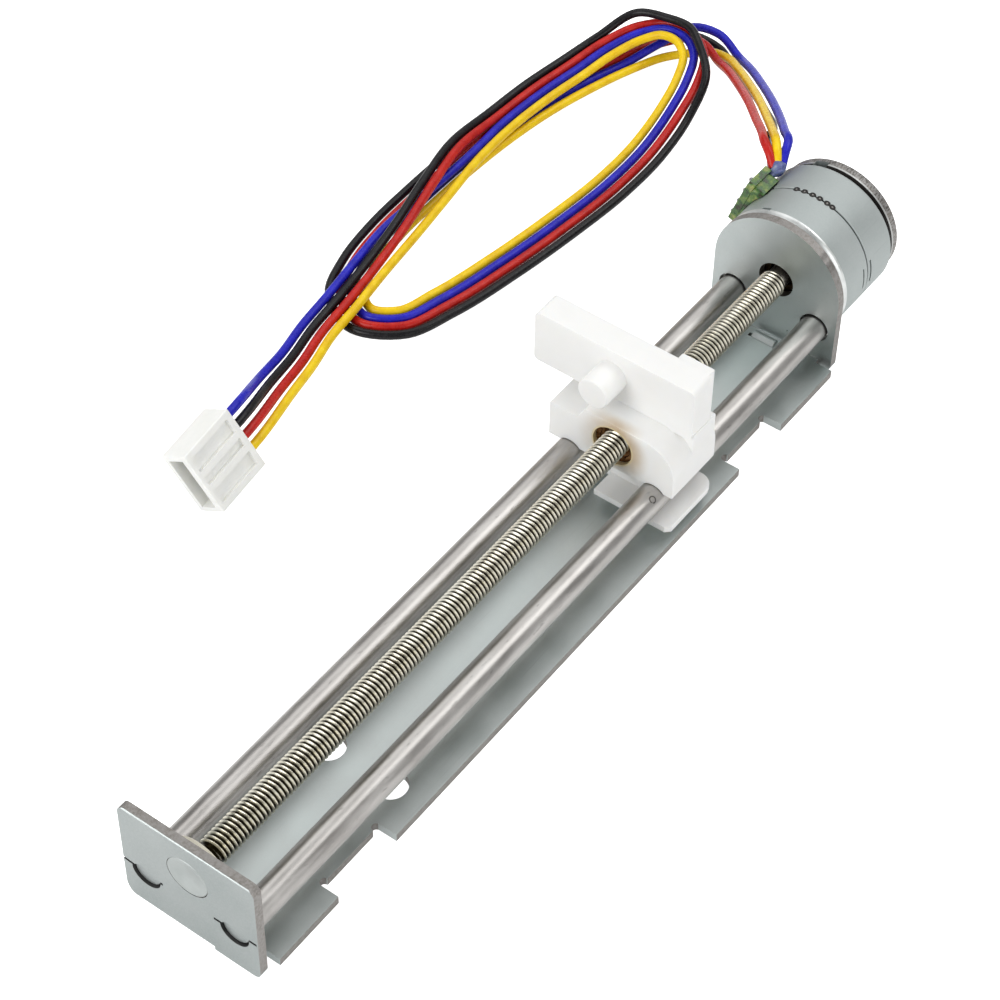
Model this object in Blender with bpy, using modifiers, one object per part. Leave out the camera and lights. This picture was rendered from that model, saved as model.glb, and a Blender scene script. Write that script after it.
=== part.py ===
"""Stepper motor linear slide.

A pressed steel frame carries two guide rods and a lead screw.
A small can-stack stepper motor turns the screw, and a plastic slider with
a brass nut travels along the rods. Four wires run to a connector.

X runs along the screw from the front plate to the motor, Y to the left,
Z up. The origin is on the underside of the base, in its middle.
Sizes are in millimetres and become metres when each mesh is made.
"""
import math

import bmesh
import bpy
from mathutils import Matrix, Vector

MM = 0.001

# Clearance between pieces that touch in the real object
GAP = 0.3

# Sheet metal frame
SHEET = 1.0
FRAME_LENGTH = 94.4
BEND_OUTER = 0.75
BEND_INNER = 0.3
AXIS_HEIGHT = 9.0
PLATE_HALF_WIDTH = 7.7
PLATE_TOP = AXIS_HEIGHT + 4.2
PLATE_CORNER = 0.8
PLATE_FOOT_CORNER = 1.6
MOTOR_PLATE_RADIUS = 7.6
MOTOR_PLATE_HALF_WIDTH = 7.6
BASE_HALF_WIDTH = 6.1
TAB_HALF_WIDTH = 8.1
FRONT_TAB = (2.2, 10.4)
MIDDLE_TAB = (18.8, 75.3)
REAR_TAB = (83.1, 92.0)
NOTCH_RELIEF = 0.45
BASE_HOLE_RADIUS = 1.3
BASE_HOLE_X = 23.1
BASE_HOLE_Y = 3.7
BEND_TAB = (-0.9, 2.1)
BEND_TAB_HEIGHT = 0.55
BEND_TAB_DEPTH = 1.0

# Guide rods
ROD_RADIUS = 1.5
ROD_SPACING = 10.1
ROD_DROP = 3.94
ROD_WINDOW = (1.45, 0.85)
ROD_SKIN = 0.35

# Lead screw and its front bearing
SCREW_RADIUS = 1.475
SCREW_THREAD = (2.5, 92.6)
SCREW_CHAMFER = 0.3
FRONT_JOURNAL_RADIUS = 0.9
BEARING_RADIUS = 2.3
BEARING_FLANGE_RADIUS = 3.3
BEARING_FLANGE = 0.7
BEARING_SKIN = 0.5
SHAFT_RADIUS = 1.2
MOTOR_PLATE_HOLE = 2.35

# Motor
CUP_RADIUS = 7.5
CUP_WALL = 0.5
CUP_FLOOR = 0.6
CUP_LENGTH = 4.5
CUP_EDGE = 0.6
CUP_BORE = 3.0
SEAM = 0.3
TOOTH_COUNT = 5
TOOTH_INNER = 3.65
TOOTH_OUTER = 4.15
TOOTH_ANGLE = 26.0
POLE_PLATE = 0.5
POLE_PLATE_CLEARANCE = 0.6
POLE_PLATE_RADIUS = CUP_RADIUS - CUP_WALL - POLE_PLATE_CLEARANCE
BOBBIN_INNER = 4.45
BOBBIN_WALL = 0.35
BOBBIN_CLEARANCE = 0.45
BOBBIN_FLANGE_RADIUS = CUP_RADIUS - CUP_WALL - BOBBIN_CLEARANCE
BOBBIN_FLANGE = 0.4
COIL_STEP = 0.2
COIL_RADIUS = BOBBIN_FLANGE_RADIUS - COIL_STEP
BUSH_RADIUS = 2.7
BUSH_LENGTH = 1.3
MAGNET_RADIUS = 3.3
HUB_RADIUS = 2.2
ROTOR_LENGTH = 6.0
REAR_COVER_STEP = 0.4
REAR_COVER_RADIUS = CUP_RADIUS - REAR_COVER_STEP
REAR_COVER_LENGTH = 1.7
REAR_COVER_RIM = 0.7
REAR_COVER_FLOOR = 0.5
REAR_COVER_HOLE = 0.8
SPRING_SIZE = (0.25, 1.6, 7.0)

# Terminal board and pins on the motor's upper left side
BOARD_TILT = 19.0
BOARD_STANDOFF = 0.35
BOARD_DISTANCE = CUP_RADIUS + BOARD_STANDOFF
BOARD_THICKNESS = 0.8
BOARD_LENGTH = 8.4
BOARD_WIDTH = 3.6
PIN_PITCH = 1.9
PIN_RADIUS = 0.25
PIN_HOLE = PIN_RADIUS + GAP
PIN_REACH = 0.45
BLOCK_DEPTH = 0.75
BLOCK_LENGTH = 7.2
BLOCK_WIDTH = 1.6
WINDOW_DEPTH = 2.3
WINDOW_RISE = 1.5
WINDOW_LENGTH = BLOCK_LENGTH + 2 * GAP
WINDOW_WIDTH = BLOCK_WIDTH + 2 * GAP

# Slider, measured where it stands in the photo
SLIDER_FRONT = 63.8
SLIDER_LENGTH = 7.4
BLOCK_LEFT = 7.6
BLOCK_RIGHT = -7.3
BLOCK_UNDER = -2.9
WING_TOP = 1.5
BODY_TOP = 3.0
BODY_LEFT = 3.4
SHOULDER_RADIUS = 3.6
FACE_X = 3.0
FACE_THICKNESS = 3.2
FACE_BOTTOM = 2.7
FACE_TOP = 9.2
FACE_LEFT = 11.8
FACE_RIGHT = -7.1
FACE_CORNER = 0.6
BACK_RIB = (-6.7, -2.9)
BACK_RIB_DROP = 0.1
WEB_HALF_WIDTH = 3.15
FOOT_FRONT = 1.3
FOOT_BACK = 7.0
FOOT_LEFT = 1.0
FOOT_RIGHT = -8.0
FOOT_TOP = -5.8
FOOT_THICKNESS = 1.2
FOOT_CORNER = 1.6
STUD_RADIUS = 1.75
STUD_LENGTH = 3.3
STUD_Y = 2.45
STUD_Z = 6.0
NUT_POCKET_RADIUS = 2.45
NUT_INSET = 0.6
NUT_LENGTH = 6.2
NUT_RADIUS = NUT_POCKET_RADIUS - GAP
NUT_BORE = SCREW_RADIUS + GAP
STEP = 0.12
FACE_INSET = 0.4

# Wires and connector
WIRE_RADIUS = 0.5
WIRE_PITCH = 2 * WIRE_RADIUS + 0.18
WIRE_POINTS = 79
WIRE_STEPS = 16
WIRE_BEND_SHARE = 6.0
CONNECTOR_BACK = (-1.9, 33.0)
CONNECTOR_AIM = (-0.99, -0.06, -0.10)
CONNECTOR_TILT = 58.0
CONNECTOR_PITCH = 1.5
HOUSING_LENGTH = 7.2
HOUSING_WALL = 0.65
HOUSING_WIDTH = 3 * CONNECTOR_PITCH + 3.0
HOUSING_HEIGHT = 3.8
HOUSING_RECESS = 0.4
HOUSING_RIB = 0.75
HOUSING_EDGE = 0.8
HOUSING_GROOVE = 1.0
MOUTH_DEPTH = 4.4
MOUTH_HEIGHT = 2.2
ENTRY_DEPTH = 1.2
ENTRY_MARGIN = GAP + 0.02
CONTACT_SIZE = 0.5
CONTACT_LENGTH = 4.8

# Each wire's place in the flat bundle, in wire pitches to the left
WIRES = ("blue", "black", "red", "yellow")
BUNCH = (-0.8, 0.5, 0.8, -0.3)
EXIT = (-0.9, 0.65, 1.15, 0.15)
RUN = (-1.15, -0.55, 1.05, 0.0)
CROSS = (-0.6, -1.0, 1.0, 0.6)
PASS = (-0.3, -1.5, 0.2, 1.3)
LAND = (0.5, -1.55, -0.5, 1.5)
LOOP = (0.5, -1.55, -0.5, 1.55)
RISE = (0.45, -1.4, -0.6, 1.45)
TURN = (0.2, -0.3, -0.8, 1.25)
TOP = (0.5, -1.5, -0.5, 1.5)
TUCK = (-0.5, -1.0, 0.0, 1.5)
END = (-1.5, -0.5, 0.5, 1.5)

# Each wire's height above the bundle
LEVEL = (0.0, 0.0, 0.0, 0.0)
GATHER = (-0.7, -0.5, 0.6, 0.85)
UNDER = (0.0, -1.35, 0.0, 0.0)
CLIMB = (1.9, -0.6, 1.1, -0.1)
ABOVE = (2.4, 0.0, 1.2, 0.0)
SETTLE = (1.25, 0.0, 0.1, 0.0)
STACK = (0.0, 1.2, 0.0, 0.0)
PAIR = (0.0, 0.9, 0.9, 0.0)
RIDGE = (0.0, 1.2, 1.2, 0.0)
FAN = (0.2, 0.1, -0.1, -0.2)
SPREAD = (0.5, 0.2, -0.2, -0.5)

# The bundle's way from the motor, under its own loop, to the connector
FLOOR = WIRE_RADIUS + 0.12
OVER = FLOOR + WIRE_PITCH + 0.05
ROUTE = (
    ((55.2, 6.3, 16.1), BUNCH, GATHER),
    ((56.9, 7.4, 16.4), EXIT, UNDER),
    ((59.2, 9.2, 15.4), EXIT, UNDER),
    ((62.2, 11.8, 13.6), RUN, UNDER),
    ((67.2, 15.9, 10.8), RUN, UNDER),
    ((71.8, 19.9, 7.9), RUN, UNDER),
    ((76.1, 24.0, 5.2), RUN, UNDER),
    ((79.4, 27.7, 3.0), RUN, UNDER),
    ((81.3, 30.7, 1.5), CROSS, CLIMB),
    ((81.3, 33.7, FLOOR), PASS, ABOVE),
    ((78.6, 36.4, FLOOR), LAND, SETTLE),
    ((74.0, 38.5, FLOOR), LOOP, LEVEL),
    ((68.5, 40.2, FLOOR), LOOP, LEVEL),
    ((62.4, 41.6, FLOOR), LOOP, LEVEL),
    ((55.6, 42.5, FLOOR), LOOP, LEVEL),
    ((48.5, 42.9, FLOOR), LOOP, LEVEL),
    ((41.2, 42.9, FLOOR), LOOP, LEVEL),
    ((34.6, 42.6, FLOOR), LOOP, LEVEL),
    ((28.6, 41.6, FLOOR), LOOP, LEVEL),
    ((24.3, 39.9, FLOOR), LOOP, LEVEL),
    ((22.2, 36.1, FLOOR), LOOP, LEVEL),
    ((24.3, 32.4, FLOOR), LOOP, LEVEL),
    ((29.4, 30.6, FLOOR), LOOP, LEVEL),
    ((38.0, 28.9, FLOOR), LOOP, LEVEL),
    ((47.0, 27.7, FLOOR), LOOP, LEVEL),
    ((56.0, 27.0, FLOOR), LOOP, LEVEL),
    ((63.0, 27.1, 0.9), LOOP, LEVEL),
    ((68.6, 27.5, 2.2), TOP, LEVEL),
    ((73.0, 28.3, 3.4), RISE, STACK),
    ((76.5, 30.1, 4.2), TURN, STACK),
    ((78.3, 32.7, 4.4), TURN, STACK),
    ((78.4, 35.7, 4.1), TURN, STACK),
    ((77.1, 38.2, 3.4), RISE, STACK),
    ((73.2, 40.3, 2.6), TOP, LEVEL),
    ((68.5, 41.5, OVER), TOP, LEVEL),
    ((62.5, 42.3, OVER), TOP, LEVEL),
    ((56.0, 42.7, OVER), TOP, LEVEL),
    ((48.8, 42.4, OVER), TOP, PAIR),
    ((41.2, 41.3, OVER), TUCK, RIDGE),
    ((34.2, 40.3, OVER), END, PAIR),
    ((27.9, 39.5, OVER), END, LEVEL),
    ((22.1, 38.6, OVER), END, LEVEL),
    ((17.0, 37.9, 1.9), END, LEVEL),
    ((12.2, 36.6, 2.3), END, FAN),
    ((7.4, 35.4, 3.2), END, SPREAD),
)

# Derived positions
FRONT_X = -FRAME_LENGTH / 2
MOTOR_PLATE_X = FRAME_LENGTH - SHEET
ROD_Y = ROD_SPACING / 2
MOTOR_FRONT = FRAME_LENGTH + GAP
FRONT_CUP_END = MOTOR_FRONT + CUP_LENGTH
REAR_CUP_START = FRONT_CUP_END + SEAM
REAR_CUP_END = REAR_CUP_START + CUP_LENGTH
SEAM_X = FRONT_CUP_END + SEAM / 2
COVER_START = REAR_CUP_END + GAP
COVER_END = COVER_START + REAR_COVER_LENGTH

MATERIALS = {
    "zinc_plated_steel": ((0.50, 0.53, 0.53), 1.0, 0.38),
    "ground_steel": ((0.42, 0.41, 0.40), 1.0, 0.30),
    "nickel_brass": ((0.62, 0.58, 0.46), 1.0, 0.32),
    "brass": ((0.55, 0.38, 0.16), 1.0, 0.35),
    "white_acetal": ((0.86, 0.86, 0.83), 0.0, 0.42),
    "cream_plastic": ((0.74, 0.70, 0.58), 0.0, 0.45),
    "black_plastic": ((0.03, 0.03, 0.03), 0.0, 0.55),
    "copper": ((0.48, 0.20, 0.08), 1.0, 0.40),
    "sintered_bronze": ((0.40, 0.28, 0.15), 1.0, 0.50),
    "ferrite": ((0.06, 0.06, 0.065), 0.1, 0.55),
    "board_green": ((0.14, 0.30, 0.10), 0.0, 0.40),
    "tin": ((0.60, 0.60, 0.58), 1.0, 0.30),
    "spring_steel": ((0.45, 0.45, 0.44), 1.0, 0.30),
    "blue_pvc": ((0.02, 0.02, 0.55), 0.0, 0.35),
    "black_pvc": ((0.012, 0.012, 0.014), 0.0, 0.35),
    "red_pvc": ((0.62, 0.02, 0.01), 0.0, 0.35),
    "yellow_pvc": ((0.85, 0.60, 0.01), 0.0, 0.35),
    "connector_nylon": ((0.84, 0.84, 0.80), 0.0, 0.45),
}


def clear_scene():
    for old in list(bpy.data.objects):
        bpy.data.objects.remove(old, do_unlink=True)


def make_collection(name):
    group = bpy.data.collections.new(name)
    bpy.context.scene.collection.children.link(group)
    return group


def make_material(name):
    colour, metallic, roughness = MATERIALS[name]
    material = bpy.data.materials.get(name)
    if material is None:
        material = bpy.data.materials.new(name)
        material.use_nodes = True
        shader = material.node_tree.nodes["Principled BSDF"]
        shader.inputs["Base Color"].default_value = (*colour, 1.0)
        shader.inputs["Metallic"].default_value = metallic
        shader.inputs["Roughness"].default_value = roughness
    return material


def at(x, y=0.0, z=0.0):
    """A point given from the frame's front face and the screw's axis."""
    return Vector((x + FRONT_X, y, z + AXIS_HEIGHT))


def new_object(name, mesh, material, group):
    item = bpy.data.objects.new(name, mesh)
    if material:
        mesh.materials.clear()
        mesh.materials.append(make_material(material))
    group.objects.link(item)
    return item


def mesh_from_bmesh(name, shape):
    bmesh.ops.recalc_face_normals(shape, faces=shape.faces)
    mesh = bpy.data.meshes.new(name)
    shape.to_mesh(mesh)
    shape.free()
    return mesh


def arc(centre, radius, start, end, steps):
    """Points on an arc, angles in degrees."""
    points = []
    for step in range(steps + 1):
        angle = math.radians(start + (end - start) * step / steps)
        x = centre[0] + radius * math.cos(angle)
        y = centre[1] + radius * math.sin(angle)
        points.append((x, y))
    return points


def circle(centre, radius, steps=32):
    return arc(centre, radius, 0, 360, steps)[:-1]


def rectangle(x0, y0, x1, y1):
    return [(x0, y0), (x1, y0), (x1, y1), (x0, y1)]


def rounded_rectangle(x0, y0, x1, y1, radius, steps=6):
    return (
        arc((x1 - radius, y1 - radius), radius, 0, 90, steps)
        + arc((x0 + radius, y1 - radius), radius, 90, 180, steps)
        + arc((x0 + radius, y0 + radius), radius, 180, 270, steps)
        + arc((x1 - radius, y0 + radius), radius, 270, 360, steps)
    )


def slab_mesh(name, outlines, low, high, matrix):
    """Fill flat outlines, later ones being holes, and give them thickness."""
    curve = bpy.data.curves.new(name + "_outline", "CURVE")
    curve.dimensions = "2D"
    curve.fill_mode = "BOTH"
    curve.extrude = (high - low) / 2 * MM
    for outline in outlines:
        spline = curve.splines.new("POLY")
        spline.points.add(len(outline) - 1)
        for point, (x, y) in zip(spline.points, outline):
            point.co = (x * MM, y * MM, 0.0, 1.0)
        spline.use_cyclic_u = True
    holder = bpy.data.objects.new(name + "_outline", curve)
    bpy.context.scene.collection.objects.link(holder)
    bpy.context.view_layer.update()
    mesh = bpy.data.meshes.new_from_object(holder)
    bpy.data.objects.remove(holder, do_unlink=True)
    shape = bmesh.new()
    shape.from_mesh(mesh)
    bpy.data.meshes.remove(mesh)
    bmesh.ops.remove_doubles(shape, verts=shape.verts, dist=0.000001)
    lift = Matrix.Translation((0, 0, (high + low) / 2 * MM))
    bmesh.ops.transform(shape, matrix=matrix @ lift, verts=shape.verts)
    return mesh_from_bmesh(name, shape)


def facing_x():
    """Outline drawn in Y and Z from the screw's axis, thickness along X."""
    turn = Matrix(((0, 0, 1, 0), (1, 0, 0, 0), (0, 1, 0, 0), (0, 0, 0, 1)))
    return Matrix.Translation(at(0) * MM) @ turn


def facing_y():
    """Outline drawn in X and Z from the frame's front corner."""
    turn = Matrix(((1, 0, 0, 0), (0, 0, -1, 0), (0, 1, 0, 0), (0, 0, 0, 1)))
    return Matrix.Translation((FRONT_X * MM, 0, 0)) @ turn


def facing_z():
    """Outline drawn in X and Y, height measured from the underside."""
    return Matrix.Translation((FRONT_X * MM, 0, 0))


def facing_board():
    """Outline drawn along the board, thickness away from the motor."""
    tilt = math.radians(BOARD_TILT)
    out = Vector((0, math.cos(tilt), math.sin(tilt)))
    along = Vector((0, -math.sin(tilt), math.cos(tilt)))
    turn = Matrix.Identity(4)
    for row in range(3):
        turn[row][0] = (1, 0, 0)[row]
        turn[row][1] = along[row]
        turn[row][2] = out[row]
    return Matrix.Translation(at(SEAM_X) * MM) @ turn


def tube_mesh(name, outline, steps=64):
    """Turn a closed outline of (x, radius) points about the screw's axis."""
    shape = bmesh.new()
    verts = []
    for x, radius in outline:
        verts.append(shape.verts.new((at(x) + Vector((0, radius, 0))) * MM))
    edges = []
    for first, second in zip(verts, verts[1:]):
        edges.append(shape.edges.new((first, second)))
    bmesh.ops.spin(
        shape,
        geom=verts + edges,
        cent=at(0) * MM,
        axis=(1, 0, 0),
        angle=math.radians(360),
        steps=steps,
        use_merge=True,
        use_duplicate=False,
    )
    bmesh.ops.remove_doubles(shape, verts=shape.verts, dist=0.0000005)
    return mesh_from_bmesh(name, shape)


def ring_outline(x0, x1, inner, outer):
    """A ring's section, closed on itself."""
    return [(x0, inner), (x0, outer), (x1, outer), (x1, inner), (x0, inner)]


def rod_mesh(name, start, end, radius, steps=32):
    """A plain round bar between two points given in millimetres."""
    shape = bmesh.new()
    line = end - start
    bmesh.ops.create_cone(
        shape,
        cap_ends=True,
        segments=steps,
        radius1=radius * MM,
        radius2=radius * MM,
        depth=line.length * MM,
    )
    turn = line.to_track_quat("Z", "Y").to_matrix().to_4x4()
    place = Matrix.Translation((start + end) / 2 * MM) @ turn
    bmesh.ops.transform(shape, matrix=place, verts=shape.verts)
    return mesh_from_bmesh(name, shape)


def box_mesh(name, low, high):
    shape = bmesh.new()
    bmesh.ops.create_cube(shape, size=1.0)
    size = (high - low) * MM
    place = Matrix.Translation((high + low) / 2 * MM)
    scale = Matrix.Diagonal((size.x, size.y, size.z, 1.0))
    bmesh.ops.transform(shape, matrix=place @ scale, verts=shape.verts)
    return mesh_from_bmesh(name, shape)


def add_boolean(item, mesh, operation, cutters):
    """Cut or join a mesh kept as a hidden object."""
    cutter = new_object(mesh.name, mesh, None, cutters)
    cutter.hide_render = True
    cutter.display_type = "WIRE"
    step = item.modifiers.new(mesh.name, "BOOLEAN")
    step.operation = operation
    step.solver = "EXACT"
    step.object = cutter
    return cutter


def smooth_round(item, angle=35.0):
    for face in item.data.polygons:
        face.use_smooth = True
    item.data.set_sharp_from_angle(angle=math.radians(angle))


def add_bevel(item, width, segments=2, angle=40.0):
    step = item.modifiers.new("edge", "BEVEL")
    step.width = width * MM
    step.segments = segments
    step.limit_method = "ANGLE"
    step.angle_limit = math.radians(angle)


def place_origin(item, point):
    """Move an object's origin without moving its shape."""
    item.data.transform(Matrix.Translation(-point * MM))
    item.location = point * MM


# Frame

def front_plate_outline():
    bottom = -AXIS_HEIGHT
    top = PLATE_TOP - AXIS_HEIGHT
    half = PLATE_HALF_WIDTH
    corner = PLATE_CORNER
    foot = PLATE_FOOT_CORNER
    return (
        arc((half - corner, top - corner), corner, 0, 90, 6)
        + arc((-half + corner, top - corner), corner, 90, 180, 6)
        + arc((-half + corner, bottom + corner), corner, 180, 270, 6)
        + arc((half - foot, bottom + foot), foot, 270, 360, 8)
    )


def motor_plate_outline():
    bottom = -AXIS_HEIGHT
    half = MOTOR_PLATE_HALF_WIDTH
    corner = PLATE_CORNER
    return (
        arc((0, 0), MOTOR_PLATE_RADIUS, 0, 180, 40)
        + arc((-half + corner, bottom + corner), corner, 180, 270, 6)
        + arc((half - corner, bottom + corner), corner, 270, 360, 6)
    )


def base_half_outline(sign):
    """One side's cut-outs: the notches beside the tabs."""
    notches = []
    edges = [
        (SHEET, FRONT_TAB[0]),
        (FRONT_TAB[1], MIDDLE_TAB[0]),
        (MIDDLE_TAB[1], REAR_TAB[0]),
        (REAR_TAB[1], MOTOR_PLATE_X),
    ]
    inner = sign * BASE_HALF_WIDTH
    outer = sign * (TAB_HALF_WIDTH + 2)
    for start, end in edges:
        low, high = sorted((inner, outer))
        notches.append(rectangle(start, low, end, high))
    return notches


def frame_section():
    """The bent sheet seen from the side."""
    length = FRAME_LENGTH
    outer = BEND_OUTER
    inner = BEND_INNER
    sheet = SHEET
    top = PLATE_TOP
    tall = AXIS_HEIGHT + MOTOR_PLATE_RADIUS
    return (
        [(0, top)]
        + arc((outer, outer), outer, 180, 270, 6)
        + arc((length - outer, outer), outer, 270, 360, 6)
        + [(length, tall), (length - sheet, tall)]
        + arc((length - sheet - inner, sheet + inner), inner, 0, -90, 4)
        + arc((sheet + inner, sheet + inner), inner, 270, 180, 4)
        + [(sheet, top)]
    )


def trim_mesh(name, outline, x0, x1):
    """A block with a hole of the plate's outline, for trimming the plate."""
    outer = rectangle(-14, -AXIS_HEIGHT - 2, 14, 14)
    return slab_mesh(name, [outer, outline], x0, x1, facing_x())


def make_base_frame(parts, cutters):
    wide = TAB_HALF_WIDTH
    mesh = slab_mesh("base_frame", [frame_section()], -wide, wide, facing_y())
    frame = new_object("base_frame", mesh, "zinc_plated_steel", parts)
    trims = [
        trim_mesh("cut_front_outline", front_plate_outline(), -0.5, SHEET),
        trim_mesh(
            "cut_motor_outline",
            motor_plate_outline(),
            MOTOR_PLATE_X,
            FRAME_LENGTH + 0.5,
        ),
    ]
    for side, sign in (("left", 1), ("right", -1)):
        notches = base_half_outline(sign)
        name = "cut_notches_" + side
        trims.append(slab_mesh(name, notches, -1, SHEET + 1.2, facing_z()))
        corners = []
        for start, end in ((FRONT_TAB[1], MIDDLE_TAB[0]), (MIDDLE_TAB[1], REAR_TAB[0])):
            for x in (start + NOTCH_RELIEF, end - NOTCH_RELIEF):
                centre = (x, sign * BASE_HALF_WIDTH)
                corners.append(circle(centre, NOTCH_RELIEF, 16))
        name = "cut_reliefs_" + side
        trims.append(slab_mesh(name, corners, -1, SHEET + 1, facing_z()))
    holes = []
    for sign in (1, -1):
        centre = (BASE_HOLE_X, sign * BASE_HOLE_Y)
        holes.append(circle(centre, BASE_HOLE_RADIUS, 32))
    trims.append(slab_mesh("cut_base_holes", holes, -1, SHEET + 1, facing_z()))
    bearing_hole = circle((0, 0), BEARING_RADIUS + GAP, 40)
    trims.append(
        slab_mesh("cut_bearing_hole", [bearing_hole], -1, SHEET + 1, facing_x())
    )
    motor_hole = circle((0, 0), MOTOR_PLATE_HOLE, 40)
    trims.append(
        slab_mesh(
            "cut_motor_hole",
            [motor_hole],
            MOTOR_PLATE_X - 1,
            FRAME_LENGTH + 1,
            facing_x(),
        )
    )
    for side, sign in (("left", 1), ("right", -1)):
        centre = (sign * ROD_Y, -ROD_DROP)
        seat = circle(centre, ROD_RADIUS + GAP, 32)
        window = lens(centre, *ROD_WINDOW)
        trims.append(
            slab_mesh("cut_rod_seat_" + side, [seat], ROD_SKIN, SHEET + 1, facing_x())
        )
        trims.append(
            slab_mesh("cut_rod_window_" + side, [window], -1, SHEET, facing_x())
        )
        trims.append(
            slab_mesh(
                "cut_rod_hole_" + side,
                [seat],
                MOTOR_PLATE_X - 1,
                FRAME_LENGTH + 1,
                facing_x(),
            )
        )
    for mesh in trims:
        add_boolean(frame, mesh, "DIFFERENCE", cutters)
    low = Vector((MOTOR_PLATE_X - BEND_TAB_DEPTH + FRONT_X, BEND_TAB[0], SHEET - 0.5))
    high = Vector((FRAME_LENGTH - SHEET / 2 + FRONT_X, BEND_TAB[1], SHEET + BEND_TAB_HEIGHT))
    add_boolean(frame, box_mesh("join_bend_tab", low, high), "UNION", cutters)
    return frame


def lens(centre, half_width, half_height, steps=10):
    """Two shallow arcs meeting in points."""
    bulge = (half_width ** 2 + half_height ** 2) / (2 * half_height)
    spread = math.degrees(math.asin(half_width / bulge))
    low = (centre[0], centre[1] + half_height - bulge)
    high = (centre[0], centre[1] - half_height + bulge)
    top = arc(low, bulge, 90 - spread, 90 + spread, steps)
    bottom = arc(high, bulge, 270 - spread, 270 + spread, steps)
    return top[:-1] + bottom[:-1]


def make_rods(parts):
    for side, sign in (("left", 1), ("right", -1)):
        start = at(ROD_SKIN + GAP, sign * ROD_Y, -ROD_DROP)
        end = at(FRAME_LENGTH - 0.1, sign * ROD_Y, -ROD_DROP)
        name = "guide_rod_" + side
        mesh = rod_mesh(name, start, end, ROD_RADIUS, 40)
        rod = new_object(name, mesh, "ground_steel", parts)
        add_bevel(rod, 0.2)
        smooth_round(rod)


def make_end_bearing(parts):
    back = SHEET + GAP + BEARING_FLANGE
    outline = [
        (0.05, 0),
        (0.05, BEARING_RADIUS),
        (SHEET + GAP, BEARING_RADIUS),
        (SHEET + GAP, BEARING_FLANGE_RADIUS),
        (back, BEARING_FLANGE_RADIUS),
        (back, FRONT_JOURNAL_RADIUS + GAP),
        (BEARING_SKIN, FRONT_JOURNAL_RADIUS + GAP),
        (BEARING_SKIN, 0),
    ]
    mesh = tube_mesh("end_bearing", outline, 48)
    bearing = new_object("end_bearing", mesh, "cream_plastic", parts)
    smooth_round(bearing)


# Screw and rotor

def rotor_start():
    return MOTOR_FRONT + BUSH_LENGTH + GAP


def shaft_end():
    return COVER_START + REAR_COVER_LENGTH - REAR_COVER_FLOOR - SPRING_SIZE[0] - 2 * GAP


def make_lead_screw(parts):
    start, end = SCREW_THREAD
    outline = [
        (BEARING_SKIN + GAP, 0),
        (BEARING_SKIN + GAP, FRONT_JOURNAL_RADIUS),
        (start, FRONT_JOURNAL_RADIUS),
        (start + SCREW_CHAMFER, SCREW_RADIUS),
        (end - SCREW_CHAMFER, SCREW_RADIUS),
        (end, SHAFT_RADIUS),
        (shaft_end(), SHAFT_RADIUS),
        (shaft_end(), 0),
    ]
    mesh = tube_mesh("lead_screw", outline, 48)
    screw = new_object("lead_screw", mesh, "nickel_brass", parts)
    place_origin(screw, at(0))
    smooth_round(screw)


def make_rotor(parts):
    start = rotor_start()
    end = start + ROTOR_LENGTH
    hub_outline = ring_outline(start, end, SHAFT_RADIUS + GAP, HUB_RADIUS)
    hub = new_object("rotor_hub", tube_mesh("rotor_hub", hub_outline, 40), "black_plastic", parts)
    magnet_outline = ring_outline(start, end, HUB_RADIUS + GAP, MAGNET_RADIUS)
    magnet_mesh = tube_mesh("rotor_magnet", magnet_outline, 48)
    magnet = new_object("rotor_magnet", magnet_mesh, "ferrite", parts)
    for item in (hub, magnet):
        place_origin(item, at(0))
        smooth_round(item)


# Motor stator

def tooth_outline(centre_angle):
    start = centre_angle - TOOTH_ANGLE / 2
    end = centre_angle + TOOTH_ANGLE / 2
    outer = arc((0, 0), TOOTH_OUTER, start, end, 4)
    inner = arc((0, 0), TOOTH_INNER, end, start, 4)
    return outer + inner


def add_teeth(item, name, x0, x1, offset, cutters):
    for number in range(TOOTH_COUNT):
        angle = offset + 360 / TOOTH_COUNT * number
        label = name + "_" + str(number + 1)
        mesh = slab_mesh(label, [tooth_outline(angle)], x0, x1, facing_x())
        add_boolean(item, mesh, "UNION", cutters)


def window_mesh(name):
    """The opening over the terminal pins, half in each cup."""
    half = WINDOW_LENGTH / 2
    outline = rectangle(-WINDOW_WIDTH / 2, -half, WINDOW_WIDTH / 2, half)
    low = CUP_RADIUS - WINDOW_DEPTH
    high = CUP_RADIUS + WINDOW_RISE
    return slab_mesh(name, [outline], low, high, facing_board())


def make_front_cup(parts, cutters):
    x0 = MOTOR_FRONT
    x1 = FRONT_CUP_END
    inner = CUP_RADIUS - CUP_WALL
    outline = [
        (x0, CUP_BORE),
        (x0, CUP_RADIUS - CUP_EDGE / 2),
        (x0 + CUP_EDGE / 2, CUP_RADIUS),
        (x1, CUP_RADIUS),
        (x1, inner),
        (x0 + CUP_FLOOR, inner),
        (x0 + CUP_FLOOR, CUP_BORE),
        (x0, CUP_BORE),
    ]
    mesh = tube_mesh("motor_cup_front", outline, 72)
    cup = new_object("motor_cup_front", mesh, "zinc_plated_steel", parts)
    end = x1 - POLE_PLATE - GAP
    add_teeth(cup, "join_front_tooth", x0 + CUP_FLOOR / 2, end, 0, cutters)
    add_boolean(cup, window_mesh("cut_front_window"), "DIFFERENCE", cutters)
    smooth_round(cup)


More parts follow.
